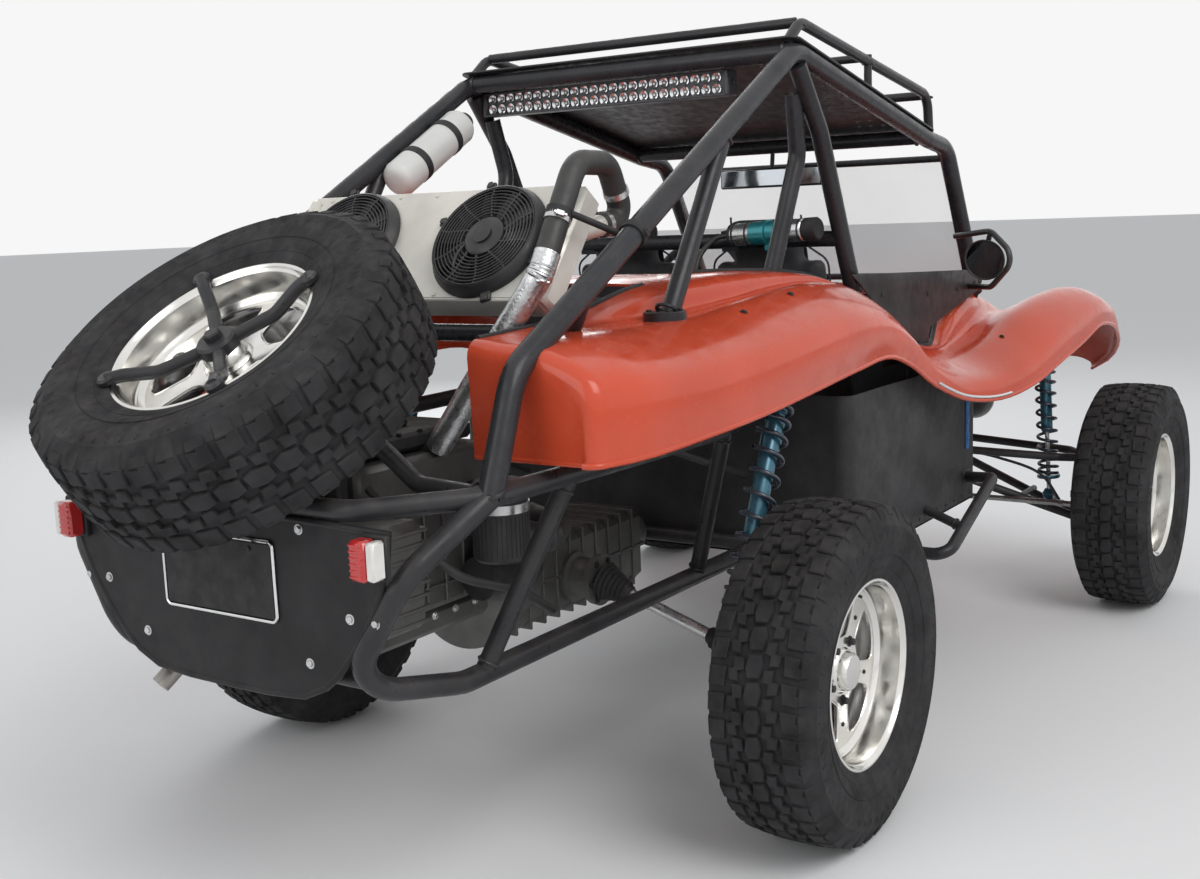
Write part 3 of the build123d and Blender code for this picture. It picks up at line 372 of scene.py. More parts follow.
FINISHES = {
    "tyre": dict(rough=0.82, bump=0.5, grain=700, dust=0.1, mottle=0.3, patch=12, gloss=0.15),
    "wheel_alloy": dict(rough=0.2, metal=1.0, bump=0.04, grain=220, dust=0.05, mottle=0.07, spread=0.07),
    "cage_black": dict(rough=0.3, bump=0.08, dust=0.06, gloss=0.3),
    "chassis_black": dict(rough=0.36, bump=0.1, dust=0.12, gloss=0.28),
    "body_orange": dict(rough=0.22, bump=0.008, grain=90, dust=0.0, coat=0.25, mottle=0.07, patch=4,
                        gloss=0.3),
    "tub_black": dict(rough=0.55, bump=1.0, grain=150, dust=0.08, mottle=0.35, gloss=0.3),
    "roof_black": dict(rough=0.42, bump=0.12, dust=0.08, gloss=0.25),
    "rack_black": dict(rough=0.32, bump=0.08, gloss=0.3, dust=0.06),
    "lamp_bar": dict(rough=0.4, bump=0.1),
    "seat_black": dict(rough=0.72, bump=0.7, grain=900, dust=0.08, mottle=0.2),
    "dash_black": dict(rough=0.6, bump=0.5, grain=600),
    "column_black": dict(rough=0.45, bump=0.1),
    "wheel_grip": dict(rough=0.65, bump=0.5, grain=900),
    "mirror_black": dict(rough=0.35, bump=0.08),
    "radiator_pale": dict(rough=0.42, metal=0.35, bump=0.12, mottle=0.1, dust=0.1),
    "fan_black": dict(rough=0.48, bump=0.15),
    "hose_black": dict(rough=0.5, bump=0.25, grain=500),
    "bottle_white": dict(rough=0.4, bump=0.1, mottle=0.06, dust=0.08),
    "reservoir_silver": dict(rough=0.28, metal=0.9, bump=0.05, mottle=0.08),
    "engine_grey": dict(rough=0.5, metal=0.6, bump=0.5, grain=300, mottle=0.25, dust=0.12),
    "intake_black": dict(rough=0.55, bump=0.3, dust=0.14),
    "gearbox_grey": dict(rough=0.55, metal=0.55, bump=0.5, grain=300, mottle=0.25, dust=0.14),
    "exhaust_steel": dict(rough=0.38, metal=0.9, bump=0.1, mottle=0.3, patch=14),
    "panel_black": dict(rough=0.42, bump=0.12, dust=0.08, gloss=0.2),
    "plate_frame": dict(rough=0.16, metal=1.0, bump=0.03, mottle=0.05, dust=0.03),
    "lamp_red": dict(rough=0.15, bump=0.05, coat=0.8, dust=0.03, mottle=0.12),
    "carrier_black": dict(rough=0.36, bump=0.12, gloss=0.3, dust=0.06),
    "bar_black": dict(rough=0.34, bump=0.1, gloss=0.3, dust=0.08),
    "headlamp_black": dict(rough=0.35, bump=0.08),
    "arm_black": dict(rough=0.42, bump=0.15, dust=0.12, gloss=0.28),
    "knuckle_grey": dict(rough=0.5, metal=0.5, bump=0.3, dust=0.16),
    "rack_grey": dict(rough=0.3, metal=0.85, bump=0.08),
    "damper_blue": dict(rough=0.3, metal=0.4, bump=0.05, mottle=0.12, coat=0.3),
    "spring_black": dict(rough=0.3, bump=0.05, coat=0.4),
}
COLOURS["engine_grey"] = COLOURS["gearbox_grey"] = (0.12, 0.12, 0.115)
LOOKS = {slot: surface(slot, COLOURS[slot], **look) for slot, look in FINISHES.items()}
EXTRA = {
    "clear": dict(colour=(0.86, 0.9, 0.9), rough=0.05, alpha=0.16, dust=0.02, bump=0.02, coat=0.6,
                  spread=0.03),
    "foil": dict(colour=(0.62, 0.63, 0.64), rough=0.34, metal=0.9, bump=1.0, grain=160, patch=25),
    "zinc": dict(colour=(0.6, 0.6, 0.6), rough=0.32, metal=1.0, bump=0.08, patch=30, dust=0.05),
    "teal": dict(colour=(0.03, 0.3, 0.34), rough=0.35, metal=0.5, bump=0.05, coat=0.4),
    "lens": dict(colour=(0.82, 0.84, 0.86), rough=0.08, metal=0.85, bump=0.05, mottle=0.1, dust=0),
    "dark": dict(colour=(0.012, 0.012, 0.014), rough=0.7, bump=0.3),
    "belt": dict(colour=(0.02, 0.022, 0.03), rough=0.8, bump=1.0, grain=1400, mottle=0.25, dust=0.1),
    "blue": dict(colour=(0.04, 0.16, 0.42), rough=0.35, bump=0.1, coat=0.3),
    "silver": dict(colour=(0.6, 0.6, 0.6), rough=0.3, metal=0.8, bump=0.06, mottle=0.12),
    "core": dict(colour=(0.5, 0.49, 0.45), rough=0.5, metal=0.5, bump=0.6, grain=260, stretch=(1, 8, 1)),
    "mirror_glass": dict(colour=(0.3, 0.32, 0.34), rough=0.06, metal=1.0, bump=0.01, mottle=0.04, dust=0.02,
                         spread=0.02),
    "clear_lens": dict(colour=(0.8, 0.78, 0.74), rough=0.12, bump=0.3, grain=400, coat=0.7, dust=0.02),
    "dial": dict(colour=(0.75, 0.75, 0.72), rough=0.5, bump=0.05, mottle=0.05, dust=0.02),
}
LOOKS |= {name: surface(name, **look) for name, look in EXTRA.items()}


# frame tubes
def cage():
    side = Form()
    main = [(1760, CAGE_Y, 1085), (1640, CAGE_Y, 1296), (1490, CAGE_Y, 1540), ROOF_FRONT, ROOF_REAR, KNEE,
            TAIL_NODE]
    side.tube(main, 25, 110, 20)
    side.tube([(1752, CAGE_Y, 1098), (1800, 430, 940)], 22)
    side.tube([(460, CAGE_Y, 1715), (585, CAGE_Y, 1560), (785, CAGE_Y, 1150), (800, CAGE_Y, 1000)], 23, 90)
    side.tube([(500, 470, 1650), (540, 460, 1500), (440, 430, 1200), (440, 430, 1100)], 22, 80)
    side.tube([diagonal_at(90), (FOOT_X, CAGE_Y, 1128)], 21)
    collar = placed((FOOT_X, CAGE_Y, 1160), (0, 0, 1))
    side.disc(collar, 46, -22, 7, 1.5)
    for k in range(4):
        a = radians(45 + 90 * k)
        side.bolt((FOOT_X + 34 * cos(a), CAGE_Y + 34 * sin(a), 1167), (0, 0, 1), 6, 5)
    side.weld((-180, CAGE_Y, 1170), (0.55, 0, 0.83), 22)
    side.weld(mix(diagonal_at(90), (FOOT_X, CAGE_Y, 1128), 0.06), (0.55, 0, 0.83), 22.5)
    side.weld((800, CAGE_Y, 1010), (0, 0, 1), 23.5)
    side.weld((1742, CAGE_Y, 1116), (-0.55, 0, 0.83), 25.5)
    side.weld((-798, CAGE_Y, 893), (-0.35, 0, 0.93), 25.5)
    side.both_sides()
    side.tube([(444, -CAGE_Y, 1744), (444, CAGE_Y, 1744)], 23)
    side.tube([(1305, -CAGE_Y, 1566), (1305, CAGE_Y, 1566)], 21)
    side.tube([(716, -496, 1290), (716, 496, 1290)], 21)
    low = [diagonal_at(-480), (-448, 440, 1140), (-448, -440, 1140), flip(diagonal_at(-480))]
    side.tube(low, 18, 60)
    for s in (-1, 1):
        side.tube([(1712, 490 * s, 1140), (1500, 490 * s, 1508)], 11, sides=12)
        side.weld((444, 478 * s, 1744), (0, 1, 0), 23.5)
        side.weld((1305, 478 * s, 1566), (0, 1, 0), 21.5)
    for x, z in ((1712, 1140), (1500, 1508)):
        side.tube([(x, -490, z), (x, 490, z)], 11, sides=12)
    piece("cage_tubes", side, "cage_black", hides=("cage",))


def chassis():
    side = Form()
    side.tube([(2380, 200, RAIL_Z), (1950, 330, RAIL_Z), (1500, 380, RAIL_Z), (-760, 380, RAIL_Z),
               (-930, 330, 540), (-980, 330, 600), (-970, 440, 770), TAIL_NODE], 22, 100, 20)
    side.tube([TAIL_NODE, (-190, CAGE_Y, DECK_Z), (60, CAGE_Y, DECK_Z), (470, 430, 900)], 21, 90)
    bars = [((FOOT_X, CAGE_Y, 1128), (FOOT_X, CAGE_Y, DECK_Z), 20),
            ((FOOT_X, CAGE_Y, 1030), (176, 600, 1072), 18), ((60, CAGE_Y, DECK_Z), (170, 592, 1066), 13),
            ((60, CAGE_Y, DECK_Z), (120, 380, RAIL_Z), 19), ((-560, CAGE_Y, 878), (-700, 380, RAIL_Z), 19),
            ((1950, 330, RAIL_Z), (2060, 420, 925), 17), ((2280, 232, RAIL_Z), (2220, 420, 925), 17),
            ((1950, 336, 440), (2366, 251, 440), 16), ((1975, 331, RAIL_Z), (1975, 331, 440), 13),
            ((2330, 258, 451), (2330, 217, RAIL_Z), 13)]
    for a, b, r in bars:
        side.tube([a, b], r)
        for end, other in ((a, b), (b, a)):
            along = Vector(other) - Vector(end)
            side.weld(mix(end, other, 26 / along.length), along, r + 0.5, 3.5)
    side.tube([TAIL_NODE, (-975, 330, 878), (-975, 0, 878)], 20, 90)
    side.block((530, 590), (366, 394), (430, 500), 4)
    side.tube([(176, 570, 1034), (176, 570, 1072)], 9, sides=10)
    side.both_sides()
    for (x, y, z), r in (((-940, 320, 560), 18), ((456, 380, RAIL_Z), 19), ((2374, 206, RAIL_Z), 20),
                         ((2060, 446, 925), 21), ((2220, 446, 925), 21), ((2150, 632, 963), 21),
                         ((2046, 290, RAIL_Z), 17), ((2046, 200, 344), 30)):
        side.tube([(x, -y, z), (x, y, z)], r)
    side.tube([(2040, 0, 925), (2240, 0, 925)], 15)
    for s in (-1, 1):
        side.block((2037, 2055), span(132, 150, s), (344, RAIL_Z), 3)
        tower = placed((2140, 402 * s, 942), (0, 1, 0))
        outline = [(-84, -23), (84, -23), (84, 23), (-84, 23)]
        side.plate(outline, -6, 6, tower, [ring_of(9, 14, (x, 0)) for x in (-40, 0, 40)], 1.5)
    piece("chassis_tubes", side, "chassis_black", hides=("chassis",))


def roof():
    sheet, rear, front, half = Form(), (421, 1780), (1355, 1585), 520
    drop = atan2(rear[1] - front[1], front[0] - rear[0])
    length = hypot(front[0] - rear[0], rear[1] - front[1])
    m = placed((rear[0], 0, rear[1]), (sin(drop), 0, cos(drop)), (cos(drop), 0, -sin(drop)))
    holes = [ring_of(8, 10, (95 + i * 53, -478 + j * 19)) for i in range(15) for j in range(9)
             if (i + j) % 2 == 0]
    sheet.plate(soft_corners(0, length, half, 26, 15), -5, 0, m, holes, 0.8)
    for k in range(6):
        u = 60 + k * (length - 120) / 5
        for v in (13 - half, half - 13):
            sheet.bolt(m @ Vector((u, v, 0)), (sin(drop), 0, cos(drop)), 6, 3)
    for v in (-230, 0, 230):
        sheet.block((40, length - 40), (v - 9, v + 9), (-1.2, 2.2), 1.4, m)
    piece("roof_sheet", sheet, "roof_black", hides=("roof_panel",))


def roof_rack():
    rack, side = Form(), 484
    rack.tube([(441, side, 1766), (511, side, 1820), (1375, side, 1690), (1389, side, 1576)], 14, 60, 16)
    rack.tube([(931, side, 1774), (931, side, 1670)], 11, sides=12)
    for x, z in ((511, 1812), (1375, 1684), (931, 1750)):
        rack.weld((x, side, z), (0.1, 0, 0.99), 14.5, 3)
    rack.both_sides()
    for x, z, r in ((511, 1820, 13), (1375, 1690, 13), (931, 1766, 11)):
        rack.tube([(x, 10 - side, z), (x, side - 10, z)], r, sides=14)
    piece("rack_tubes", rack, "rack_black", hides=("roof_rack",))


def light_bar():
    case = Form()
    low, high, start, end = 1658, 1722, -300, 470
    case.block((474, 516), (start, end), (low, high), 4)
    for z in range(low + 8, high, 8):
        case.block((508, 516), (start + 4, end - 4), (z - 1.5, z + 1.5), 1)
    for z0, z1 in ((low, low + 7), (high - 7, high)):
        case.block((468, 478), (start, end), (z0, z1), 2)
    for y in (start, end):
        case.block((468, 516), (y - 8, y + 8), (low, high), 4)
        bolt_side = -1 if y < 0 else 1
        case.bolt((492, y + 7 * bolt_side, 1690), (0, bolt_side, 0), 9, 6)
    count = 24
    pitch = (end - start - 24) / count
    cups, faces = Form(), Form()
    for k in range(count):
        y = start + 12 + pitch * (k + 0.5)
        for z in (1676, 1704):
            m = placed((475, y, z), (-1, 0, 0), (0, 1, 0))
            cups.lathe([(3, -1), (11.5, 4), (13, 5), (13, 3.5), (4, -1.5)], m, 20)
            faces.disc(m, 3.4, -1, 2.5, 0.8, 12)
    piece("light_bar_case", case, "lamp_bar", hides=("light_bar",))
    piece("light_bar_reflectors", cups, "lamp_bar", "lens")
    piece("light_bar_emitters", faces, "lamp_bar", "clear_lens")


def side_bars():
    bars = Form()
    bars.tube([(1350, 620, 552), (1190, 750, 585), (820, 750, 440), (860, 560, 430), (870, 500, 462)], 17,
              40)
    bars.tube([(1000, 620, 520), (945, 750, 490)], 13)
    bars.weld((957, 724, 496), (-0.3, 0.9, -0.2), 13.5, 3.5)
    bars.block((830, 900), (488, 512), (470, 520), 4)
    bars.block((1320, 1380), (606, 622), (530, 575), 4)
    piece("side_bar_tubes", bars.both_sides(), "bar_black", hides=("side_bars",))


# wheels; heights run outboard from the wheel's centre plane
RIM_LIP_R = 208.5
RIM_HALF_W = 95.0
BEAD_R = 198.0
WINDOW_COUNT = 5
NUT_RADIUS = 67.65
RIVET_RADIUS = 123.0
FACE_Z = 28.5
PITCHES = 42
GROOVE_R = 363.0
SIDE_TICKS = 60
TICK_HALF = 0.012
SPARE_AT = (-915, 0, 1106)
SPARE_TILT = radians(54.7)


def wheel_matrix(x, y, z, side):
    return placed((x, y, z), (0, side, 0), (1, 0, 0))


def spare_matrix():
    return placed(SPARE_AT, (-cos(SPARE_TILT), 0, sin(SPARE_TILT)), (0, 1, 0))


def carcass():
    """Profile of the tyre without its tread blocks."""
    half = [(BEAD_R + 1, 84), (203, 91), (214, 97), (222, 99), (232, 104), (252, 112), (276, 118.5),
            (300, 120.5), (318, 119.5), (322, 120.6), (326, 120.4), (330, 117), (343, 110), (352, 104),
            (GROOVE_R - 3, 98), (GROOVE_R, 88), (GROOVE_R + 0.8, 45), (GROOVE_R + 1, 0)]
    return half + [(r, -h) for r, h in half[-2::-1]] + [(198.5, -78), (198.5, 78)]


def tread_block(form, corners):
    """Block on the tread with its corners as (angle in pitches, offset)."""
    low = GROOVE_R - 2
    mid = (sum(c[0] for c in corners) / len(corners), sum(c[1] for c in corners) / len(corners))
    rings = []
    for height, shrink in ((0, 1.04), (0.75, 1.0), (1, 0.9)):
        ring = []
        for pitch, offset in corners:
            u, v = mid[0] + (pitch - mid[0]) * shrink, mid[1] + (offset - mid[1]) * shrink
            radius = low + (crown(v) - low) * height
            a = tau * u / PITCHES
            ring.append(polar(radius, a, v))
        rings.append(ring)
    form.skin(rings)


def crown(offset):
    """Radius of the block tops."""
    return TYRE_R - 1.2 - 8.0 * (abs(offset) / 100) ** 2.6


def tyre_form():
    form = Form().lathe(carcass(), Matrix(), 84)
    for k in range(PITCHES):
        tread_block(form, [(k - .40, -13), (k + .10, -19), (k + .46, -12), (k + .40, 13), (k - .10, 19),
                           (k - .46, 12)])
        for s in (-1, 1):
            u = k + (0.5 if s > 0 else 0.18)
            tread_block(form, [(u - .42, 24 * s), (u - .02, 21 * s), (u + .05, 35 * s), (u + .44, 33 * s),
                               (u + .40, 53 * s), (u + .02, 56 * s), (u - .05, 42 * s), (u - .46, 44 * s)])
            w = u + 0.35
            tread_block(form, [(w - .40, 61 * s), (w + .34, 64 * s), (w + .38, 97 * s), (w + .02, 100 * s),
                               (w - .04, 93 * s), (w - .36, 95 * s)])
            long_lug = 1.0 if k % 2 else 0.55
            rings = []
            for t in (0, 0.5, 1):
                r, h = 366 - 32 * t * long_lug, 98 + 17.5 * (t * long_lug) ** 0.8
                lift = 5.0 * (1 - 0.45 * t)
                ring = []
                for du, dh, dr in ((-.34, 0, 0), (.34, 0, 0), (.30, lift, lift * .35),
                                   (-.30, lift, lift * .35)):
                    ring.append(polar(r + dr - 1.5, tau * (w + du) / PITCHES, (h + dh - 3) * s))
                rings.append(ring)
            form.skin(rings)
    for s in (-1, 1):
        for radius, height in ((232, 103.2), (262, 115.2)):
            form.lathe([(radius - 1.6, height - 1), (radius, height + 1.6), (radius + 1.6, height - 0.4)],
                       Matrix.Diagonal((1, 1, s, 1)), 72)
        for k in range(SIDE_TICKS):
            a0 = tau * k / SIDE_TICKS
            edge = ((-TICK_HALF, -1), (0, 1.1), (TICK_HALF, -1))
            rings = [[polar(r, a0 + da, (h + dh) * s) for da, dh in edge]
                     for r, h in ((304, 121), (315, 120.3))]
            form.skin(rings)
    return form


def d_window(angle):
    """Outline of one window of the wheel's disc."""
    corners = [(76, 22), (74, 12), (74, -12), (76, -22), (84, -33), (128, -60), (142, -62), (152, -55),
               (163, -32), (168, -11), (168, 11), (163, 32), (152, 55), (142, 62), (128, 60), (84, 33)]
    c, s = cos(angle), sin(angle)
    soft = soft_points(corners + corners[:1], 2)[:-1]
    return [(u * c - v * s, u * s + v * c) for u, v in soft]


def rim_form():
    w = RIM_HALF_W
    form = Form().lathe([(RIM_LIP_R - 1, w - 1), (RIM_LIP_R - 4, w), (202, w - .5), (199, w - 4),
                         (196.5, w - 9), (193.5, w - 11), (192.5, w - 22), (191, w - 40), (190, w - 58),
                         (184, w - 64), (183, 12), (183, -30), (189, -40), (190, -w + 16), (198, -w + 1),
                         (RIM_LIP_R - 1, -w), (RIM_LIP_R, -w + 3), (199, -w + 8), (196, -w + 20),
                         (196, -30), (194, 20), (196, w - 20), (199, w - 8), (RIM_LIP_R, w - 4)], Matrix(),
                        84)
    windows = [d_window(tau * (k + 0.25) / WINDOW_COUNT) for k in range(WINDOW_COUNT)]
    form.plate(ring_of(184.5, 84), 19, 29, None, windows, 2.0)
    for outline in windows:
        form.tube([(*p, 28) for p in outline], 2.6, sides=6, closed=True)
    form.lathe([(183.5, 27), (183.5, 37), (178, 31), (174, 29.3), (174, 26)], Matrix(), 84)
    form.lathe([(52, 27), (49, 33), (44, 36), (41, 50), (37, 55.2), (0.5, 55.8), (0.5, -18), (42, -18),
                (46, 10)], Matrix(), 48)
    return form


def nut_form():
    form = Form()
    for k in range(WINDOW_COUNT):
        a = tau * (k + 0.75) / WINDOW_COUNT
        form.bolt(polar(NUT_RADIUS, a, FACE_Z), (0, 0, 1), 8.5, 12)
        form.disc(placed(polar(RIVET_RADIUS, a, FACE_Z), (0, 0, 1)), 5, 0, 3, 1, 10)
    form.tube([(0, 184, 50), (0, 176, 58), (0, 170, 76)], 3.2, 6, 8)
    return form


def wheels():
    tyre_base, rim_base, nut_base = tyre_form(), rim_form(), nut_form()
    places = {"rear_left": (0, REAR_HALF_TRACK), "rear_right": (0, -REAR_HALF_TRACK),
              "front_left": (WHEELBASE, FRONT_HALF_TRACK), "front_right": (WHEELBASE, -FRONT_HALF_TRACK)}
    mats = {k: (wheel_matrix(x, y, AXLE_Z, copysign(1, y)), "wheel_" + k) for k, (x, y) in places.items()}
    for k, (m, body) in mats.items():
        piece("tread_" + k, Form().join(tyre_base, m), "tyre", body=body, hides=("tyre_" + k,), sharp=32)
        piece("alloy_" + k, Form().join(rim_base, m), "wheel_alloy", body=body, hides=("rim_" + k,),
              sharp=38)
        piece("nuts_" + k, Form().join(nut_base, m), "wheel_alloy", "dark", body=body)
    m = spare_matrix()
    piece("tread_spare", Form().join(tyre_base, m), "tyre", hides=("spare_tyre",), sharp=32)
    piece("alloy_spare", Form().join(rim_base, m), "wheel_alloy", hides=("spare_rim",), sharp=38)


def spare_carrier():
    """Round four-armed hold-down over the spare's rim."""
    m, form = spare_matrix(), Form()
    for k in range(4):
        a = radians(45 + 90 * k)
        form.tube([m @ polar(r, a, h) for r, h in ((20, 66), (120, 70), (176, 96), (208, 104))], 13, 50, 16)
        form.disc(m @ Matrix.Translation(polar(206, a, 0)), 18, 96, 112, 4, 20)
    form.disc(m, 40, 54, 82, 5, 32)
    form.disc(m, 17, 80, 96, 3, 6)
    return form


# body shell
SKIN = 6.0
TAIL_ROUND = 34.0
TAIL_X, TAIL_LOW = -680.0, 925.0
NOSE_X = 2603.0
DECK_X = (-60, 157)
COWL_X = 1587.0
INNER_COLUMNS = 8
OUTER_COLUMNS = 34
STATIONS = [
    # x, centre z, then (y, z) of shoulder, valley, crest, widest side, lower edge
    (-680, 1152, 330, 1150, 420, 1142, 530, 1130, 640, 1070, 648, 925),
    (-560, 1156, 335, 1154, 430, 1148, 550, 1136, 672, 1070, 680, 928),
    (-350, 1172, 350, 1168, 440, 1150, 560, 1138, 690, 1066, 697, 938),
    (-120, 1215, 385, 1206, 455, 1152, 570, 1150, 704, 1078, 706, 952),
    (120, 1226, 410, 1222, 480, 1168, 580, 1176, 714, 1096, 708, 972),
    (350, 1226, 425, 1224, 495, 1186, 590, 1190, 716, 1110, 704, 990),
    (560, 1206, 450, 1204, 510, 1184, 600, 1166, 708, 1086, 696, 998),
    (740, 1150, 480, 1146, 530, 1130, 600, 1096, 694, 1020, 688, 955),
    (900, 1070, 500, 1058, 545, 1044, 602, 1010, 688, 940, 690, 886),
    (1080, 1010, 515, 983, 560, 968, 615, 938, 700, 884, 715, 826),
    (1280, 1020, 515, 968, 560, 942, 640, 914, 738, 866, 752, 806),
    (1480, 1080, 495, 1040, 545, 962, 660, 962, 768, 902, 784, 826),
    (1680, 1124, 470, 1096, 540, 1002, 680, 1032, 790, 960, 805, 872),
    (1880, 1104, 440, 1072, 525, 1010, 690, 1070, 800, 1010, 820, 915),
    (2080, 1068, 400, 1034, 505, 1002, 690, 1080, 806, 1036, 826, 955),
    (2280, 1016, 360, 984, 480, 962, 690, 1048, 802, 1004, 822, 930),
    (2430, 952, 320, 922, 450, 906, 676, 976, 782, 932, 800, 862),
    (2540, 878, 280, 852, 420, 838, 640, 880, 735, 846, 748, 796),
    (2610, 786, 240, 770, 380, 762, 570, 790, 650, 772, 660, 742),
]
# left edge of the engine gap and the cockpit as x and y
OPENING_EDGE = [(-700, 364), (-60, 364), (157, 323), (391, 431), (887, 538), (1253, 538), (1421, 493),
                (1587, 297), (2610, 200)]


def station_at(x):
    """Control points of the shell's section at x."""
    i = max(k for k in range(len(STATIONS) - 1) if STATIONS[k][0] <= x or k == 0)
    rows = [STATIONS[max(i - 1, 0)], STATIONS[i], STATIONS[i + 1], STATIONS[min(i + 2, len(STATIONS) - 1)]]
    t = (x - rows[1][0]) / (rows[2][0] - rows[1][0])
    values = [spline(*four, t) for four in zip(*rows)][1:]
    return [(0.0, values[0])] + [(values[k], values[k + 1]) for k in range(1, 11, 2)]


def opening_edge(x):
    for (x0, y0), (x1, y1) in zip(OPENING_EDGE, OPENING_EDGE[1:]):
        if x <= x1:
            return y0 + (y1 - y0) * (x - x0) / (x1 - x0)
    return OPENING_EDGE[-1][1]


def section(x):
    """Points across the shell at x, split at the opening's edge."""
    dense = soft_points(station_at(x), 14)
    split = opening_edge(x)
    cut = next(k for k in range(len(dense)) if dense[k][0] >= split)
    (y0, z0), (y1, z1) = dense[cut - 1], dense[cut]
    edge = (split, z0 + (z1 - z0) * (split - y0) / (y1 - y0))

    def resampled(pts, count):
        out = []
        for k in range(count + 1):
            f = k / count * (len(pts) - 1)
            i = min(int(f), len(pts) - 2)
            out.append(mix(pts[i], pts[i + 1], f - i))
        return out

    inner = resampled(dense[:cut] + [edge], INNER_COLUMNS)
    outer = resampled([edge] + dense[cut:], OUTER_COLUMNS)
    return [Vector((x, y, z)) for y, z in inner[:-1] + outer]


def thick(form, grid, present, depth, walled):
    """Sheet of some depth over a grid of points; walled says which borders get an edge face."""
    rows, cols = len(grid), len(grid[0])
    inner = []
    for i in range(rows):
        line = []
        for j in range(cols):
            along = grid[min(i + 1, rows - 1)][j] - grid[max(i - 1, 0)][j]
            across = grid[i][min(j + 1, cols - 1)] - grid[i][max(j - 1, 0)]
            line.append(grid[i][j] - across.cross(along).normalized() * -depth)
        inner.append(line)
    points = [p for line in grid for p in line] + [p for line in inner for p in line]
    half, faces = rows * cols, []

    def there(i, j):
        return 0 <= i < rows - 1 and 0 <= j < cols - 1 and present(i, j)

    for i in range(rows - 1):
        for j in range(cols - 1):
            if not there(i, j):
                continue
            a, b, c, d = i * cols + j, i * cols + j + 1, (i + 1) * cols + j + 1, (i + 1) * cols + j
            faces += [(a, b, c, d), (half + d, half + c, half + b, half + a)]
            for (p, q), (ni, nj) in (((a, b), (i - 1, j)), ((b, c), (i, j + 1)), ((c, d), (i + 1, j)),
                                     ((d, a), (i, j - 1))):
                if not there(ni, nj) and walled(ni, nj):
                    faces.append((q, p, half + p, half + q))
    return form.add(points, faces)


def tail_rows():
    """Rounded rear face of the tail, from its lowest line up to the shell."""
    top = section(TAIL_X + TAIL_ROUND)[INNER_COLUMNS:]
    last = len(top) - 1
    inward = []
    for j in range(last + 1):
        along = top[min(j + 1, last)] - top[max(j - 1, 0)]
        inward.append(Vector((0, along.z, -along.y)).normalized() if j < last else Vector((0, -1, 0)))
    rows = []
    for k in range(6):
        a = pi / 2 * k / 5
        x, depth = TAIL_X + TAIL_ROUND * (1 - sin(a)), TAIL_ROUND * (1 - cos(a))
        rows.append([Vector((x, max(p.y + n.y * depth, top[0].y), p.z + n.z * depth))
                     for p, n in zip(top, inward)])
    edge = rows[-1]
    low = [Vector((TAIL_X + 8, edge[0].y + (edge[-1].y - edge[0].y) * j / last, TAIL_LOW))
           for j in range(last + 1)]
    rows += [[p.lerp(q, k / 7) for p, q in zip(edge, low)] for k in range(1, 8)]
    return rows[::-1]


def body():
    xs = []
    for start, end, count in ((TAIL_X + TAIL_ROUND, DECK_X[0], 22), (*DECK_X, 8), (DECK_X[1], COWL_X, 54),
                              (COWL_X, NOSE_X, 40)):
        xs += [start + k * (end - start) / count for k in range(count)]
    xs.append(NOSE_X)
    grid = [section(x) for x in xs]
    shell = Form()
    closed_x = [(DECK_X[0] - 1, DECK_X[1] - 1), (COWL_X - 1, NOSE_X)]

    def present(i, j):
        return j >= INNER_COLUMNS or any(a <= xs[i] < b for a, b in closed_x)

    thick(shell, grid, present, SKIN, lambda i, j: not (j == -1 or i == -1))
    tail = tail_rows()
    thick(shell, tail, lambda i, j: True, SKIN, lambda i, j: i < len(tail) - 1)
    lower = [line[-1] + Vector((0, -3, 2)) for line in grid]
    shell.tube(lower[::2] + [lower[-1]], 6.5, sides=10)
    shell.tube([line[-1] + Vector((0, -3, 2)) for line in tail[7:]], 6.5, sides=10)
    shell.tube([p + Vector((4, 0, 3)) for p in tail[0]], 6.5, sides=10)
    piece("shell", shell.both_sides(), "body_orange", hides=("body_shell",), sharp=50)

    trim = Form()
    rim = [grid[i][INNER_COLUMNS] for i in range(len(xs)) if DECK_X[1] - 1 <= xs[i] <= COWL_X + 1]
    trim.tube(rim, 7, sides=10)
    trim.tube([line[INNER_COLUMNS] for line in grid if line[0].x <= DECK_X[0] + 1], 6, sides=10)
    for x in (-20, 200, 1500):
        trim.bolt(section(x)[-16] + Vector((0, 0, 1)), (0, 0.4, 0.9), 6, 4)
    trim.tube([(2372, 745, 985), (2392, 760, 985)], 14, sides=12)
    piece("shell_trim", trim.both_sides(), "body_orange", "dark")

    strip = Form()
    line = [section(x)[-3] + Vector((0, 2.5, 1)) for x in range(900, 1330, 20)]
    strip.tube(line, 4.5, sides=10)
    piece("sill_strip", strip.both_sides(), "plate_frame")


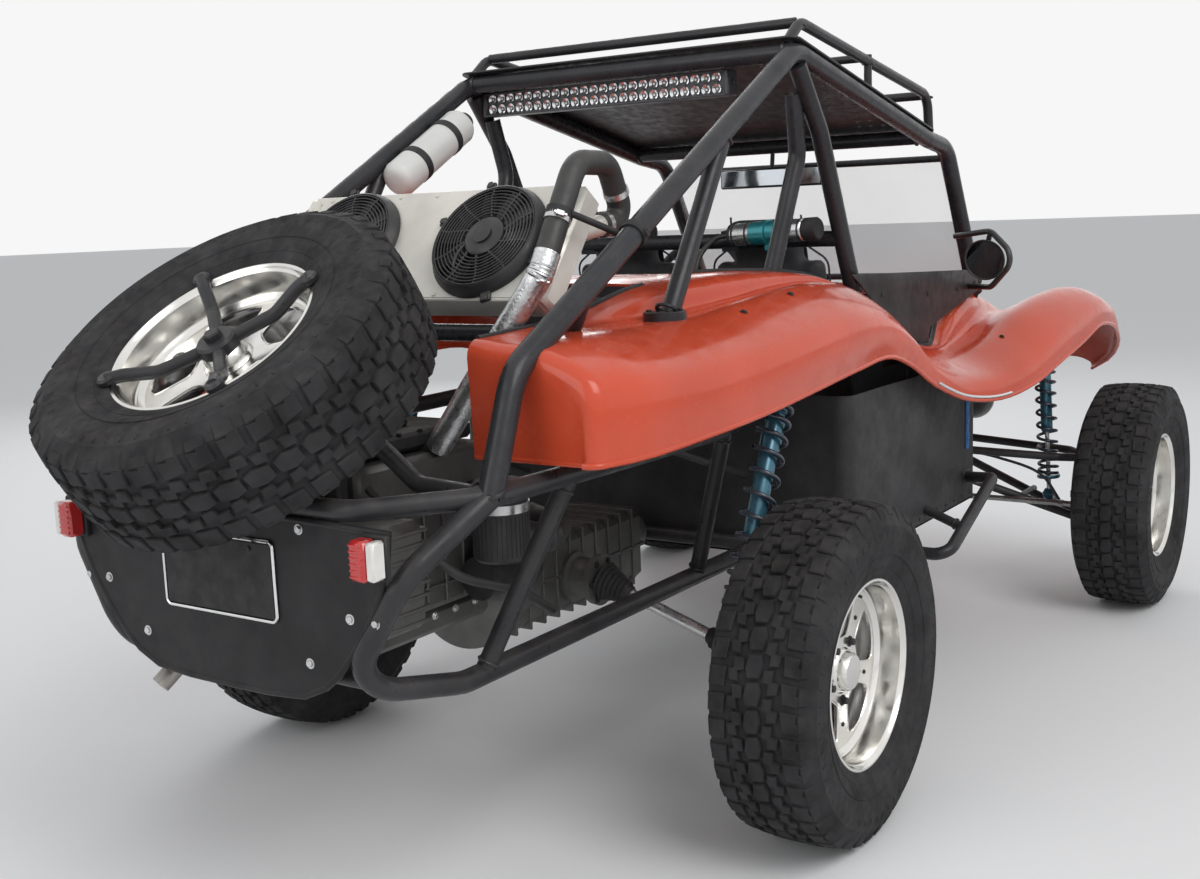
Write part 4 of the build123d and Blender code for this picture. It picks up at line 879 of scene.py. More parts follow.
def tub():
    """Rounded tub with its nose box, side panels, fixings and side strips."""
    rear, front, half, low, high, nose, foot = 480, 1440, 620, 480, 905, 1930, 400
    loop = soft_corners(rear, front, half, 46, 10)
    walls = Form()
    middle = Vector(((rear + front) / 2, 0))
    rings = []
    for x, y in loop:
        inner = Vector((x, y)) - (Vector((x, y)) - middle).normalized() * 6
        rings.append([(x, y, low), (x, y, high), (inner.x, inner.y, high), (inner.x, inner.y, low)])
    walls.skin(rings, closed=True)
    flat = placed((0, 0, low), (0, 0, 1))
    walls.plate(loop, 0, 6, flat)
    walls.block((rear, rear + 6), (-470, 470), (high, 1150), 2)
    walls.block((front, nose), (-foot, foot), (low, low + 6), 2)
    walls.block((nose - 6, nose), (6 - foot, foot - 6), (low, high - 40), 2)
    for s in (-1, 1):
        walls.block((front - 6, nose), span(foot - 6, foot, s), (low, high - 40), 2)
        panel = placed((0, 531.5 * s, 0), (0, 1, 0), (1, 0, 0))
        outline = [(700, 1196), (1700, 1160), (1690, 1092), (1480, 1052), (1270, 1012), (1240, 930),
                   (905, 930), (905, 1080), (760, 1165)]
        walls.plate([(x, -z) for x, z in outline], -2.5, 2.5, panel)
        walls.block((764, 786), span(506, 530, s), (1150, 1176), 2)
        walls.block((1686, 1712), span(506, 530, s), (1128, 1152), 2)
    for x in range(560, 1400, 120):
        walls.block((x - 9, x + 9), (-600, 600), (low + 6, low + 12), 3)
    piece("tub_walls", walls, "tub_black", hides=("tub",), sharp=50)
    form = Form()
    for k in range(13):
        form.bolt((536 + k * 70, 620, 500), (0, 1, 0), 4.5, 2.5)
    for x, z in ((930, 1020), (1180, 975), (900, 1130), (1250, 1110), (1500, 1110), (1660, 1120)):
        form.bolt((x, 534, z), (0, 1, 0), 6, 3)
    piece("tub_fixings", form.both_sides(), "tub_black", "dark")
    strip = Form()
    strip.block((1330, 1352), (620, 626), (640, 900), 2)
    for k in range(4):
        strip.block((1334, 1348), (626, 628), (655 + 60 * k, 690 + 60 * k), 1)
    piece("side_strip", strip.both_sides(), "tub_black", "blue")


# tail
def panel_bolts():
    fixings = Form()
    for y, z in ((224, 594), (390, 690), (218, 840), (330, 690)):
        for s in (-1, 1):
            fixings.bolt((-994, y * s, z), (-1, 0, 0), 7, 5)
    piece("panel_bolts", fixings, "plate_frame", "zinc")


def tail_sheet():
    outline = [(0, 520), (110, 521), (200, 528), (255, 552), (290, 580), (340, 640), (375, 690), (400, 740),
               (420, 795), (430, 850), (215, 856), (0, 858)]
    outline = outline + [(-y, z) for y, z in outline[-2:0:-1]]
    m = placed((-992, 0, 0), (-1, 0, 0), (0, 1, 0))
    panel = Form().plate([(y, -z) for y, z in outline], -2, 2, m, edge=0.8)
    panel.tube([(-990, y, z) for y, z in outline] + [(-990, outline[0][0], outline[0][1])], 7, sides=10)
    piece("tail_sheet", panel, "panel_black", hides=("tail_panel",))


def blank_plate():
    low, high, half = 657, 813, 154
    plate = Form().block((-999, -995), (-half + 8, half - 8), (low + 8, high - 8), 1)
    for y in (-90, 90):
        plate.bolt((-999, y, high - 20), (-1, 0, 0), 5, 3)
    piece("blank_plate", plate, "plate_frame", "dark", hides=("licence_plate",))
    rim = Form()
    path = [(-997.5, -half + 3, low + 3), (-997.5, half - 3, low + 3), (-997.5, half - 3, high - 3),
            (-997.5, -half + 3, high - 3)]
    corners = []
    for k in range(4):
        a, b, c = path[k - 1], path[k], path[(k + 1) % 4]
        corners += rounded([mix(a, b, 0.5), b, mix(b, c, 0.5)], 12)[1:]
    rim.tube(corners, 3.4, sides=8, closed=True)
    piece("plate_rim", rim, "plate_frame")


def tail_lamps():
    red, clear, base = Form(), Form(), Form()
    for s in (-1, 1):
        red.block((-1040, -1004), span(378, 414, s), (774, 846), 6)
        clear.block((-1036, -1004), span(414, 433, s), (776, 844), 5)
        base.block((-1006, -994), span(374, 436, s), (770, 850), 3)
        base.bolt((-1006, 425 * s, 774), (-1, 0, 0), 2.5, 2)
        for k in range(6):
            z = 781 + 11 * k
            red.block((-1041.5, -1038), span(382, 410, s), (z, z + 4), 1)
    piece("lamp_lenses", red, "lamp_red", hides=("tail_lamps",))
    piece("lamp_clear", clear, "lamp_red", "clear_lens")
    piece("lamp_bases", base, "lamp_red", "dark")


def spare():
    form, m = spare_carrier(), spare_matrix()
    form.disc(m, 60, -32, -20, 2, 40)
    form.tube([m @ Vector((0, 0, -178)), m @ Vector((0, 0, -26))], 29, sides=28)
    for s in (-1, 1):
        start = m @ Vector((12 * s, 0, -150))
        form.tube([start, (-700, 120 * s, 960), (-760, 300 * s, 884), (-800, 488 * s, 885)], 18, 60)
        form.weld((-790, 460 * s, 885), (-0.2, s, 0), 18.5, 3.5)
    piece("hold_down", form, "carrier_black", hides=("spare_carrier",))


def front_lamps():
    cups, glass, rings = Form(), Form(), Form()
    for s in (-1, 1):
        m = placed((2400, 250 * s, 640), (1, 0, 0), (0, 1, 0))
        cups.lathe([(0.5, 0), (26, 2), (52, 14), (72, 38), (83, 74), (84, 86), (80, 88), (78, 74), (60, 40),
                    (0.5, 20)], m, 40)
        glass.lathe([(0.5, 84), (40, 82), (77, 74), (77, 70), (0.5, 78)], m, 40)
        rings.lathe([(78, 82), (84, 80), (86, 85), (82, 89), (77, 87)], m, 40)
        cups.tube([(2374, 206 * s, 511), (2405, 250 * s, 560), (2425, 250 * s, 575)], 11, 30, 12)
    piece("headlamp_cups", cups, "headlamp_black", hides=("headlamps",))
    piece("headlamp_glass", glass, "headlamp_black", "clear_lens")
    piece("headlamp_rings", rings, "headlamp_black", "silver")


# cabin
SEAT_Y = 235.0
CLOTH_VOXEL = 0.011
CLOTH_FRAMES = 16
CLOTH_REACH = 0.014
CLOTH_STIFFNESS = 40


def cushion_mesh(name, form, pressure=3.5):
    """A closed bag of cloth, filled by a short simulation, that keeps inside its place."""
    obj = piece(name, form, "seat_black", sharp=80)
    remesh = obj.modifiers.new("remesh", "REMESH")
    remesh.mode, remesh.voxel_size = "VOXEL", CLOTH_VOXEL
    settle(obj)
    cloth = obj.modifiers.new("cloth", "CLOTH")
    cloth.settings.use_pressure = True
    cloth.settings.uniform_pressure_force = pressure
    cloth.settings.effector_weights.gravity = 0
    cloth.settings.quality = 4
    cloth.settings.tension_stiffness = CLOTH_STIFFNESS
    cloth.settings.compression_stiffness = CLOTH_STIFFNESS
    cloth.point_cache.frame_end = CLOTH_FRAMES
    before = [v.co.copy() for v in obj.data.vertices]
    for number in range(1, CLOTH_FRAMES + 1):
        bpy.context.scene.frame_set(number)
    settle(obj)
    for vertex, was in zip(obj.data.vertices, before):
        step = vertex.co - was
        if step.length > CLOTH_REACH:
            vertex.co = was + step.normalized() * CLOTH_REACH
    bpy.context.scene.frame_set(1)
    soft = obj.modifiers.new("soft", "SMOOTH")
    soft.iterations = 4
    settle(obj)


def settle(obj):
    """Applies the object's modifiers to its mesh."""
    bpy.context.view_layer.update()
    shaped = obj.evaluated_get(bpy.context.evaluated_depsgraph_get())
    mesh = bpy.data.meshes.new_from_object(shaped)
    for modifier in list(obj.modifiers):
        obj.modifiers.remove(modifier)
    obj.data = mesh
    obj.data.shade_smooth()


def seat_parts(y, tag):
    m = placed((950, y, 690), (-0.17, 0, 0.985), (0.985, 0, 0.17))
    lower = Form().block((892, 1300), (y - 178, y + 178), (612, 690), 22)
    for s in (-1, 1):
        mid = y + 172 * s
        lower.block((948, 1292), (mid - 16, mid + 16), (660, 736), 12)
    back = Form().block((-67, -3), (-176, 176), (14, 560), 20, m)
    back.block((-63, -6), (-112, 112), (540, 684), 20, m)
    for s in (-1, 1):
        back.block((-30, 42), span(150, 200, s), (40, 480), 14, m)
    cushion_mesh("cushion_" + tag, lower)
    cushion_mesh("backrest_" + tag, back)
    seams = Form()
    for k in range(1, 4):
        x = 892 + 408 * k / 4
        seams.tube([(x, y - 140, 694), (x, y, 696), (x, y + 140, 694)], 2.2, sides=6)
    for k in range(1, 6):
        h = 60 + 85 * k
        for near, mid in ((0, 1.5), (-71, -72)):
            seams.tube([m @ Vector(p) for p in ((near, -150, h), (mid, 0, h), (near, 150, h))], 2.2, sides=6)
    for s in (-1, 1):
        path = [m @ Vector((-36, 178 * s, h)) for h in (20, 300, 555)]
        seams.tube(path + [m @ Vector((-36, 112 * s, 600)), m @ Vector((-36, 108 * s, 680))], 3, 40, 6)
    piece("seams_" + tag, seams, "seat_black")


def belt(form, path, wide, half=24, depth=2.2):
    """Flat webbing along a path; wide is the direction of its width."""
    points, wide, rings = [Vector(p) for p in path], Vector(wide), []
    for i, p in enumerate(points):
        along = points[min(i + 1, len(points) - 1)] - points[max(i - 1, 0)]
        out = along.normalized().cross(wide) * depth
        rings.append([p - wide * half - out, p + wide * half - out, p + wide * half + out,
                      p - wide * half + out])
    form.skin(rings)


def seats_and_belts():
    straps, buckles = Form(), Form()
    for y, tag in ((SEAT_Y, "left"), (-SEAT_Y, "right")):
        seat_parts(y, tag)
        for s in (-1, 1):
            at = y + 62 * s
            belt(straps, [(706, at, 1262), (702, at, 1316), (730, at, 1318), (800, at, 1300),
                          (880, at, 1262), (905, at, 1160), (935, at, 980), (985, at - 20 * s, 800),
                          (1040, y + 14 * s, 730)], (0, 1, 0))
            belt(straps, [(930, y + 190 * s, 640), (960, y + 150 * s, 735), (1030, y + 60 * s, 742),
                          (1050, y, 744)], (1, 0, 0), 22)
            buckles.block((912, 925), (at - 28, at + 28), (1090, 1120), 3)
        buckles.disc(placed((1045, y, 742), (0, 0, 1)), 26, 0, 14, 3)
    stand_ins = Form()
    for y in (SEAT_Y, -SEAT_Y):
        for s in (-1, 1):
            stand_ins.block((940, 1280), (y + 95 * s - 12, y + 95 * s + 12), (486, 612), 3)
        stand_ins.block((940, 1280), (y - 105, y + 105), (590, 612), 3)
    piece("seat_mounts", stand_ins, "seat_black", "dark", hides=("seats",))
    piece("harness", straps, "seat_black", "belt")
    piece("harness_buckles", buckles, "seat_black", "silver")


def dials_and_switches():
    dials, faces, marks = Form(), Form(), Form()
    for y, r in ((300, 42), (200, 42), (110, 26), (40, 26), (-40, 26)):
        m = placed((1553, y, 1030), (-1, 0, 0.12), (0, 1, 0))
        dials.lathe([(r - 4, 2), (r, 0), (r + 1, 8), (r - 3, 10), (r - 6, 7)], m, 36)
        faces.disc(m, r - 3, -2, 4, 1, 32)
        for j in range(11):
            a = radians(-135 + 27 * j) + pi / 2
            marks.tube([m @ polar(r - 12, a, 4.6), m @ polar(r - 7, a, 4.6)], 0.9, sides=5)
        marks.tube([m @ Vector((0, 0, 5.4)), m @ Vector((-(r - 16) * 0.6, (r - 16) * 0.8, 5.4))], 1.1,
                   sides=5)
    switches = Form()
    for k in range(6):
        switches.tube([(1549, -110 - 30 * k, 1010), (1534, -110 - 30 * k, 1014)], [3.2, 2.2], sides=8)
        switches.disc(placed((1550, -110 - 30 * k, 1010), (-1, 0, 0.1)), 7, -1, 3, 0.8, 14)
    piece("dial_rings", dials, "dash_black", "silver")
    piece("dial_faces", faces, "dash_black", "dark")
    piece("dial_marks", marks, "dash_black", "dial")
    piece("switches", switches, "dash_black", "silver")


def levers():
    lever = Form()
    lever.tube([(1180, 0, 500), (1160, 0, 640), (1120, 0, 760)], 8, 60, 12)
    lever.lathe([(0.5, -26), (14, -22), (23, -8), (24, 4), (17, 19), (0.5, 25)],
                placed((1116, 0, 776), (0, 0, 1)), 28)
    lever.lathe([(48, 0), (40, 18), (24, 34), (16, 62), (9, 70), (9, 0)], placed((1180, 0, 486), (0, 0, 1)),
                28)
    lever.tube([(1000, 20, 500), (1040, 20, 590), (1085, 20, 625)], 9, 40, 12)
    piece("levers", lever, "column_black")
    pedals = Form()
    for y in (150, 230, 310):
        pedals.tube([(1745, y, 760), (1700, y, 640), (1690, y, 590)], 8, 40, 10)
        pedals.block((1678, 1690), (y - 30, y + 30), (550, 625), 4)
        for j in range(5):
            pedals.block((1675, 1680), (y - 26, y + 26), (558 + 13 * j, 564 + 13 * j), 1)
    piece("pedals", pedals, "column_black", "silver")


def steering():
    hub = (1245, 235, 1120)
    rake = radians(28)
    m = placed(hub, (-cos(rake), 0, sin(rake)), (0, 1, 0))
    wheel = Form()
    turns = [tau * k / 64 for k in range(64)]
    grip = [13.0 + 0.6 * cos(16 * a) for a in turns]
    wheel.tube([m @ polar(165, a, 26) for a in turns], grip, sides=14, closed=True)
    for k in range(3):
        a = radians(90 + 120 * k)
        arm = Form().plate([(30, -15), (156, -10), (156, 10), (30, 15)], 0, 4, None,
                           [ring_of(5.5, 12, (u, 0)) for u in (62, 92, 122)], 0.8)
        wheel.join(arm, m @ Matrix.Rotation(a, 4, "Z") @ Matrix.Translation((0, 0, 16)))
    wheel.disc(m, 36, 4, 22, 3)
    wheel.disc(m, 27, 22, 32, 5)
    piece("grip_wheel", wheel, "wheel_grip", body="steering_wheel", hides=("steering_wheel",))


def mirrors():
    loops, glass = Form(), Form()
    loops.tube([(1560, 505, 1270), (1490, 640, 1285), (1440, 735, 1205), (1500, 640, 1115),
                (1640, 505, 1110)], 9, 45, 14)
    m = placed((1500, 620, 1198), (-1, 0, -0.17), (0, 1, 0))
    loops.lathe([(0.5, -40), (30, -38), (50, -24), (61, -4), (63, 4), (60, 6), (57, 2), (57, -2),
                 (0.5, -6)], m, 48)
    loops.tube([(1485, 640, 1275), (1515, 622, 1240)], 8, sides=12)
    glass.lathe([(0.5, 3.2), (56, 1.6), (56, -1), (0.5, -1)], m, 48)
    piece("mirror_loops", loops.both_sides(), "mirror_black", hides=("mirrors",))
    piece("mirror_glass", glass.both_sides(), "mirror_black", "mirror_glass")
    inner = Form().block((1297, 1318), (-178, 178), (1442, 1503), 9)
    inner.tube([(1318, 0, 1545), (1312, 0, 1500)], 7, sides=12)
    piece("inner_mirror", inner, "mirror_black")
    pane = Form().block((1294.5, 1298), (-172, 172), (1448, 1497), 1.2)
    piece("inner_mirror_glass", pane, "mirror_black", "mirror_glass")


# cooling
RAD_TOP = (-300.0, 0.0, 1436.0)
RAD_LEN = 285.0
RAD_HALF_W = 395.0
RAD_TILT = radians(37)
FAN_AT = (142.5, 200.0)
FAN_BLADES = 10
HOSE_R = 25.5
HOSE_Y = -365


def radiator_matrix():
    """Origin at the middle of the top rear edge, z out of the rear face, x down the face."""
    z = (-cos(RAD_TILT), 0, sin(RAD_TILT))
    return placed(RAD_TOP, z, (-sin(RAD_TILT), 0, -cos(RAD_TILT)))


def clamp(form, centre, axis, radius):
    """Worm-drive hose clamp."""
    m = placed(centre, axis, Vector(axis).orthogonal())
    form.lathe([(radius - 1, -7), (radius + 1.6, -7), (radius + 1.6, 7), (radius - 1, 7)], m, 32)
    form.block((radius, radius + 11), (-9, 9), (-6, 6), 2, m)
    form.tube([m @ Vector((radius + 6, -14, 0)), m @ Vector((radius + 6, 12, 0))], 4, sides=8)


def radiator():
    m = radiator_matrix()
    out = m.to_3x3() @ Vector((0, 0, 1))
    core, frame_form, sheet = Form(), Form(), Form()
    core.block((22, RAD_LEN - 22), (-RAD_HALF_W + 47, RAD_HALF_W - 47), (-56, -8), 1, m)
    tube_count = 34
    for k in range(tube_count):
        v = -RAD_HALF_W + 56 + k * (2 * RAD_HALF_W - 112) / (tube_count - 1)
        core.block((20, RAD_LEN - 20), (v - 1.6, v + 1.6), (-59, -6), 0.6, m)
    for k in range(60):
        u = 24 + k * (RAD_LEN - 48) / 59
        core.block((u - 0.7, u + 0.7), (-RAD_HALF_W + 50, RAD_HALF_W - 50), (-58, -7), 0.3, m)
    frame_form.block((0, 22), (-RAD_HALF_W + 20, RAD_HALF_W - 20), (-62, 0), 3, m)
    frame_form.block((RAD_LEN - 22, RAD_LEN), (-RAD_HALF_W + 20, RAD_HALF_W - 20), (-62, 0), 3, m)
    for s in (-1, 1):
        frame_form.block((2, RAD_LEN - 2), span(RAD_HALF_W - 47, RAD_HALF_W - 1, s), (-66, 3), 11, m)
        for u in (40, 245):
            frame_form.bolt(m @ Vector((u, s * (RAD_HALF_W - 24), 3)), out, 6, 4)
    frame_form.tube([(-306, HOSE_Y, 1338), (-180, HOSE_Y, 1355)], 23, sides=28)
    outline = [(6, -RAD_HALF_W + 48), (RAD_LEN - 6, -RAD_HALF_W + 48), (RAD_LEN - 6, RAD_HALF_W - 48),
               (6, RAD_HALF_W - 48)]
    sheet.plate(outline, -3, 1.5, m, [ring_of(124, 64, (FAN_AT[0], s * FAN_AT[1])) for s in (-1, 1)], 0.8)
    for u in (14, RAD_LEN - 14):
        for k in range(7):
            sheet.bolt(m @ Vector((u, -318 + k * 106, 1.5)), out, 4.5, 2.5)
    piece("radiator_core", core, "radiator_pale", "core", hides=("radiator",))
    piece("radiator_tanks", frame_form, "radiator_pale")
    piece("radiator_shroud", sheet, "radiator_pale")


def fan_units():
    m = radiator_matrix()
    fans = Form()
    for s in (-1, 1):
        f = m @ Matrix.Translation((FAN_AT[0], FAN_AT[1] * s, 4))
        fans.lathe([(138, -3), (138, 4), (134, 9), (128, 22), (124, 24), (122, 20), (125, 6), (122, -3)], f,
                   72)
        fans.lathe([(0.5, 26), (40, 26), (47, 22), (50, 12), (50, 2), (0.5, 2)], f, 40)
        fans.lathe([(18, 26), (22, 31), (0.5, 32), (0.5, 26)], f, 30)
        for k in range(FAN_BLADES):
            a = tau * k / FAN_BLADES
            path = [f @ polar(r, a + sweep, 19)
                    for r, sweep in ((48, 0), (75, .14), (100, .2), (126, .18))]
            fans.tube(path, 3.6, sides=6)
            rings = []
            for r, sweep in ((46, 0.25), (84, 0.34), (119, 0.3)):
                ring = []
                for da, h in ((-.2, 2), (.2, 14), (.2, 16), (-.2, 4)):
                    aa = a + sweep + da * 60 / r
                    ring.append(f @ polar(r, aa, h))
                rings.append(ring)
            fans.skin(rings)
        fans.disc(f, 122, -6, -3.5, 0.5, 48)
        for r in range(57, 122, 8):
            fans.tube([f @ Vector((*p, 22)) for p in ring_of(r, 48)], 1.8, sides=6, closed=True)
        for angle in (20, 70, 200, 250):
            lug = f @ Matrix.Rotation(radians(angle), 4, "Z")
            fans.block((128, 158), (-12, 12), (-3, 6), 4, lug)
            fans.disc(lug @ Matrix.Translation((152, 0, 0)), 8, 6, 10, 1.5, 14)
    wire = [m @ Vector(p) for p in ((142, 212, 31), (150, 170, 26), (200, 150, 28), (265, 160, 10))]
    fans.tube(soft_points(wire, 8), 3, sides=8)
    piece("fan_units", fans, "fan_black", hides=("radiator_fans",))


def coolant_hose():
    hose, foil, clamps = Form(), Form(), Form()
    route = rounded([(-222, HOSE_Y, 1349), (-128, HOSE_Y, 1362), (-205, -379, 1478), (-345, -395, 1478),
                     (-466, -387, 1262), (-506, -312, 1135), (-480, -110, 900)], 62)
    hose.tube(route, HOSE_R, sides=24)
    low = [Vector((-445, -389, 1300))] + [p for p in route if p.z < 1290]
    wrapped = soft_points(low, 8)
    foil.tube(wrapped, [HOSE_R + 1 + random.uniform(0, 1.3) for _ in wrapped], sides=24)
    for at, axis in (((-206, HOSE_Y, 1351), (0.99, 0, 0.13)), ((-164, -372, 1418), (-0.55, -0.1, 0.83)),
                     ((-408, -391, 1366), (-0.49, 0.03, -0.87)), (route[-6], (0.1, 0.4, -0.9))):
        clamp(clamps, at, axis, HOSE_R + 1)
    piece("hose_rubber", hose, "hose_black", hides=("coolant_hose",))
    strap, grip = Form(), flip(diagonal_at(-300))
    along = Vector(diagonal_at(-300)) - Vector(diagonal_at(-200))
    strap.lathe([(HOSE_R, -10), (29, -10), (29, 10), (HOSE_R, 10)],
                placed(grip, (along.x, 0, along.z), (0, 1, 0)), 32)
    strap.lathe([(HOSE_R, -9), (28.5, -9), (28.5, 9), (HOSE_R, 9)],
                placed((-402, -391, 1376), (-0.49, 0, -0.87)), 32)
    strap.tube([(-398, -416, 1376), (grip[0] - 12, -476, grip[2])], 7, sides=12)
    strap.bolt((grip[0], -529, grip[2]), (0, -1, 0), 7, 7)
    piece("hose_strap", strap, "hose_black", "dark")
    piece("hose_foil", foil, "hose_black", "foil")
    piece("hose_clamps", clamps, "hose_black", "zinc")


def canister():
    can, straps = Form(), Form()
    axis = Vector((-290, 0, -163))
    m = placed((330, 438, 1636), axis, (0, 1, 0))
    length = axis.length
    can.lathe([(0.5, 0), (20, 0), (22, 3), (30, 8), (44, 16), (47.5, 26), (47.5, length - 26),
               (44, length - 12), (34, length - 3), (20, length), (0.5, length)], m, 40)
    for h in (26, length - 26):
        can.lathe([(46, h - 3), (48, h), (46, h + 3)], m, 40)
    for h in (90, 235):
        straps.lathe([(47, h - 11), (49.5, h - 11), (49.5, h + 11), (47, h + 11)], m, 40)
        straps.block((46, 66), (-12, 12), (h - 9, h + 9), 3, m)
    straps.disc(m, 24, -16, 4, 3)
    piece("canister_shell", can, "bottle_white", hides=("canister",))
    piece("canister_straps", straps, "bottle_white", "dark")


def reservoir():
    body_form, ends, bracket = Form(), Form(), Form()
    a, b = Vector((664, -200, 1306)), Vector((640, -470, 1318))
    m = placed(a, b - a, (1, 0, 0))
    length = (b - a).length
    body_form.lathe([(0.5, 6), (26, 6), (30, 12), (30, length - 44), (26, length - 40), (0.5, length - 40)], m,
                    40)
    sleeve = Form().lathe([(29, 70), (30.8, 71), (30.8, length - 96), (29, length - 95)], m, 40)
    piece("reservoir_sleeve", sleeve, "reservoir_silver", "teal")
    for h in (18, 60, length - 84, length - 50):
        ends.lathe([(29, h - 3), (31, h - 2), (31, h + 2), (29, h + 3)], m, 40)
    ends.lathe([(0.5, length - 42), (27, length - 42), (30.5, length - 38), (30.5, length - 6), (26, length),
                (0.5, length)], m, 40)
    ends.lathe([(0.5, 0), (24, 0), (30.5, 4), (30.5, 12), (0.5, 12)], m, 40)
    bracket.block((640, 700), (-350, -310), (1262, 1290), 4)
    for y in (-344, -316):
        bracket.lathe([(29.5, -5), (34, -5), (34, 5), (29.5, 5)],
                      placed((652, y, 1311), (b - a).normalized(), (1, 0, 0)), 32)
    piece("reservoir_can", body_form, "reservoir_silver", hides=("reservoir",))
    piece("reservoir_ends", ends, "reservoir_silver", "dark")
    piece("reservoir_bracket", bracket, "reservoir_silver", "teal")
    line = Form()
    line.tube(soft_points([(664, -196, 1306), (660, -150, 1296), (620, -120, 1240), (560, -140, 1120),
                           (490, -200, 1000), (430, -330, 960)], 8), 7, sides=12)
    piece("reservoir_line", line, "hose_black")


# engine bay
def engine():
    block, dark, bright = Form(), Form(), Form()
    block.block((-752, -296), (-142, 182), (566, 796), 16)
    block.block((-734, -316), (-114, 144), (800, 892), 12)
    dark.block((-714, -336), (-86, 116), (900, 938), 16)
    block.block((-714, -336), (-114, 154), (504, 562), 14)
    dark.block((-796, -764), (-124, 164), (546, 894), 14)
    for x in range(-700, -320, 60):
        block.block((x - 4, x + 4), (-149, -138), (580, 790), 2)
        block.block((x - 4, x + 4), (178, 189), (580, 790), 2)
    for z in (620, 700, 775):
        block.block((-748, -300), (-148, -140), (z - 3, z + 3), 2)
    for k in range(6):
        x = -700 + 66 * k
        dark.bolt((x, -80, 938), (0, 0, 1), 6, 4)
        dark.bolt((x, 110, 938), (0, 0, 1), 6, 4)
        bright.bolt((x, -150, 560), (0, -1, 0), 6, 6)
    dark.disc(placed((-480, 14, 940), (0, 0, 1)), 30, 0, 16, 4)
    block.block((-896, -744), (-296, -146), (606, 816), 16)
    for k in range(8):
        z = 622 + 25 * k
        block.block((-899, -742), (-299, -143), (z - 4, z + 4), 2.5)
    for x, y, z, r in ((-827, 20, 624, 80), (-827, -70, 760, 45), (-827, 110, 760, 52)):
        m = placed((x, y, z), (1, 0, 0), (0, 1, 0))
        groove = [(r, 0), (r, 4), (r - 4, 7), (r, 10), (r - 4, 13), (r, 16), (r - 4, 19), (r, 22), (r, 28),
                  (r - 8, 30), (r - 10, 22), (14, 20), (14, 32), (0.5, 32), (0.5, -2), (r * .45, -2),
                  (r * .5, 8), (r - 9, 8), (r - 7, 0)]
        bright.lathe(groove, m, 48)
    rear, ahead, belt_path = Vector((-822, 0, 0)), Vector((-804, 0, 0)), []
    for y, z, r, start, end in ((20, 624, 77, 205, 340), (110, 760, 49, -35, 100), (-70, 760, 42, 85, 210)):
        for k in range(13):
            a = radians(start + (end - start) * k / 12)
            belt_path.append((y + r * cos(a), z + r * sin(a)))
    rings = []
    centre = sum((Vector((0, *p)) for p in belt_path), Vector()) / len(belt_path)
    for y, z in belt_path:
        out = Vector((0, y - centre.y, z - centre.z)).normalized() * 4
        p = Vector((0, y, z))
        rings.append([rear + p, ahead + p, ahead + p + out, rear + p + out])
    dark.skin(rings, closed=True)
    dark.tube([(-470, -190, 620), (-300, -190, 620)], 47, sides=32)
    bright.disc(placed((-470, -190, 620), (-1, 0, 0)), 40, 0, 12, 3)
    dark.tube([(-440, -190, 688), (-330, -190, 688)], 22, sides=24)
    piece("engine_castings", block, "engine_grey", hides=("engine",))
    piece("engine_covers", dark, "engine_grey", "dark")
    piece("engine_bright", bright, "engine_grey", "silver")


def intake():
    can, band = Form(), Form()
    m, r, fluting = placed((-560, -330, 700), (0, 0, 1)), 56, 36
    can.lathe([(0.5, 0), (r - 6, 0), (r, 6), (r, 154), (r - 6, 160), (0.5, 160)], m, 48)
    for k in range(fluting):
        a = tau * k / fluting
        can.tube([m @ polar(r, a, h) for h in (12, 94)], 1.8, sides=6)
    band.lathe([(55, 100), (59.5, 100), (59.5, 118), (55, 118)], m, 48)
    duct = rounded([(-560, -330, 745), (-430, -350, 720), (-330, -300, 720), (-290, -120, 730)], 60)
    dense = soft_points(duct, 5)
    steps = [dense[0]]
    for p in dense:
        if (Vector(p) - Vector(steps[-1])).length >= 4.4:
            steps.append(p)
    can.tube(steps, [33.5 if k % 3 == 0 else 30.5 for k in range(len(steps))], sides=24)
    piece("intake_can", can, "intake_black", hides=("intake",))
    piece("intake_band", band, "intake_black", "silver")


def exhaust():
    steel = Form()
    steel.tube([(-892, 225, 650), (-760, 240, 660), (-480, 236, 700)], 20, 60, 20)
    steel.tube([(-892, 200, 620), (-892, 220, 530), (-965, 240, 470)], 20, 30, 20)
    steel.block((-540, -470), (190, 246), (670, 730), 6)
    steel.weld((-892, 208, 604), (0, 0.1, -1), 20.5, 4)
    steel.weld((-862, 230, 652), (1, 0.1, 0.05), 20.5, 4)
    m = placed((-892, -80, 650), (0, 1, 0), (1, 0, 0))
    steel.lathe([(0.5, 0), (40, 0), (48, 5), (50, 12), (50, 308), (48, 315), (40, 320), (0.5, 320)], m, 40)
    for h in (14, 306):
        steel.lathe([(49, h - 3), (51, h), (49, h + 3)], m, 40)
    piece("exhaust_can", steel, "exhaust_steel", hides=("exhaust",))


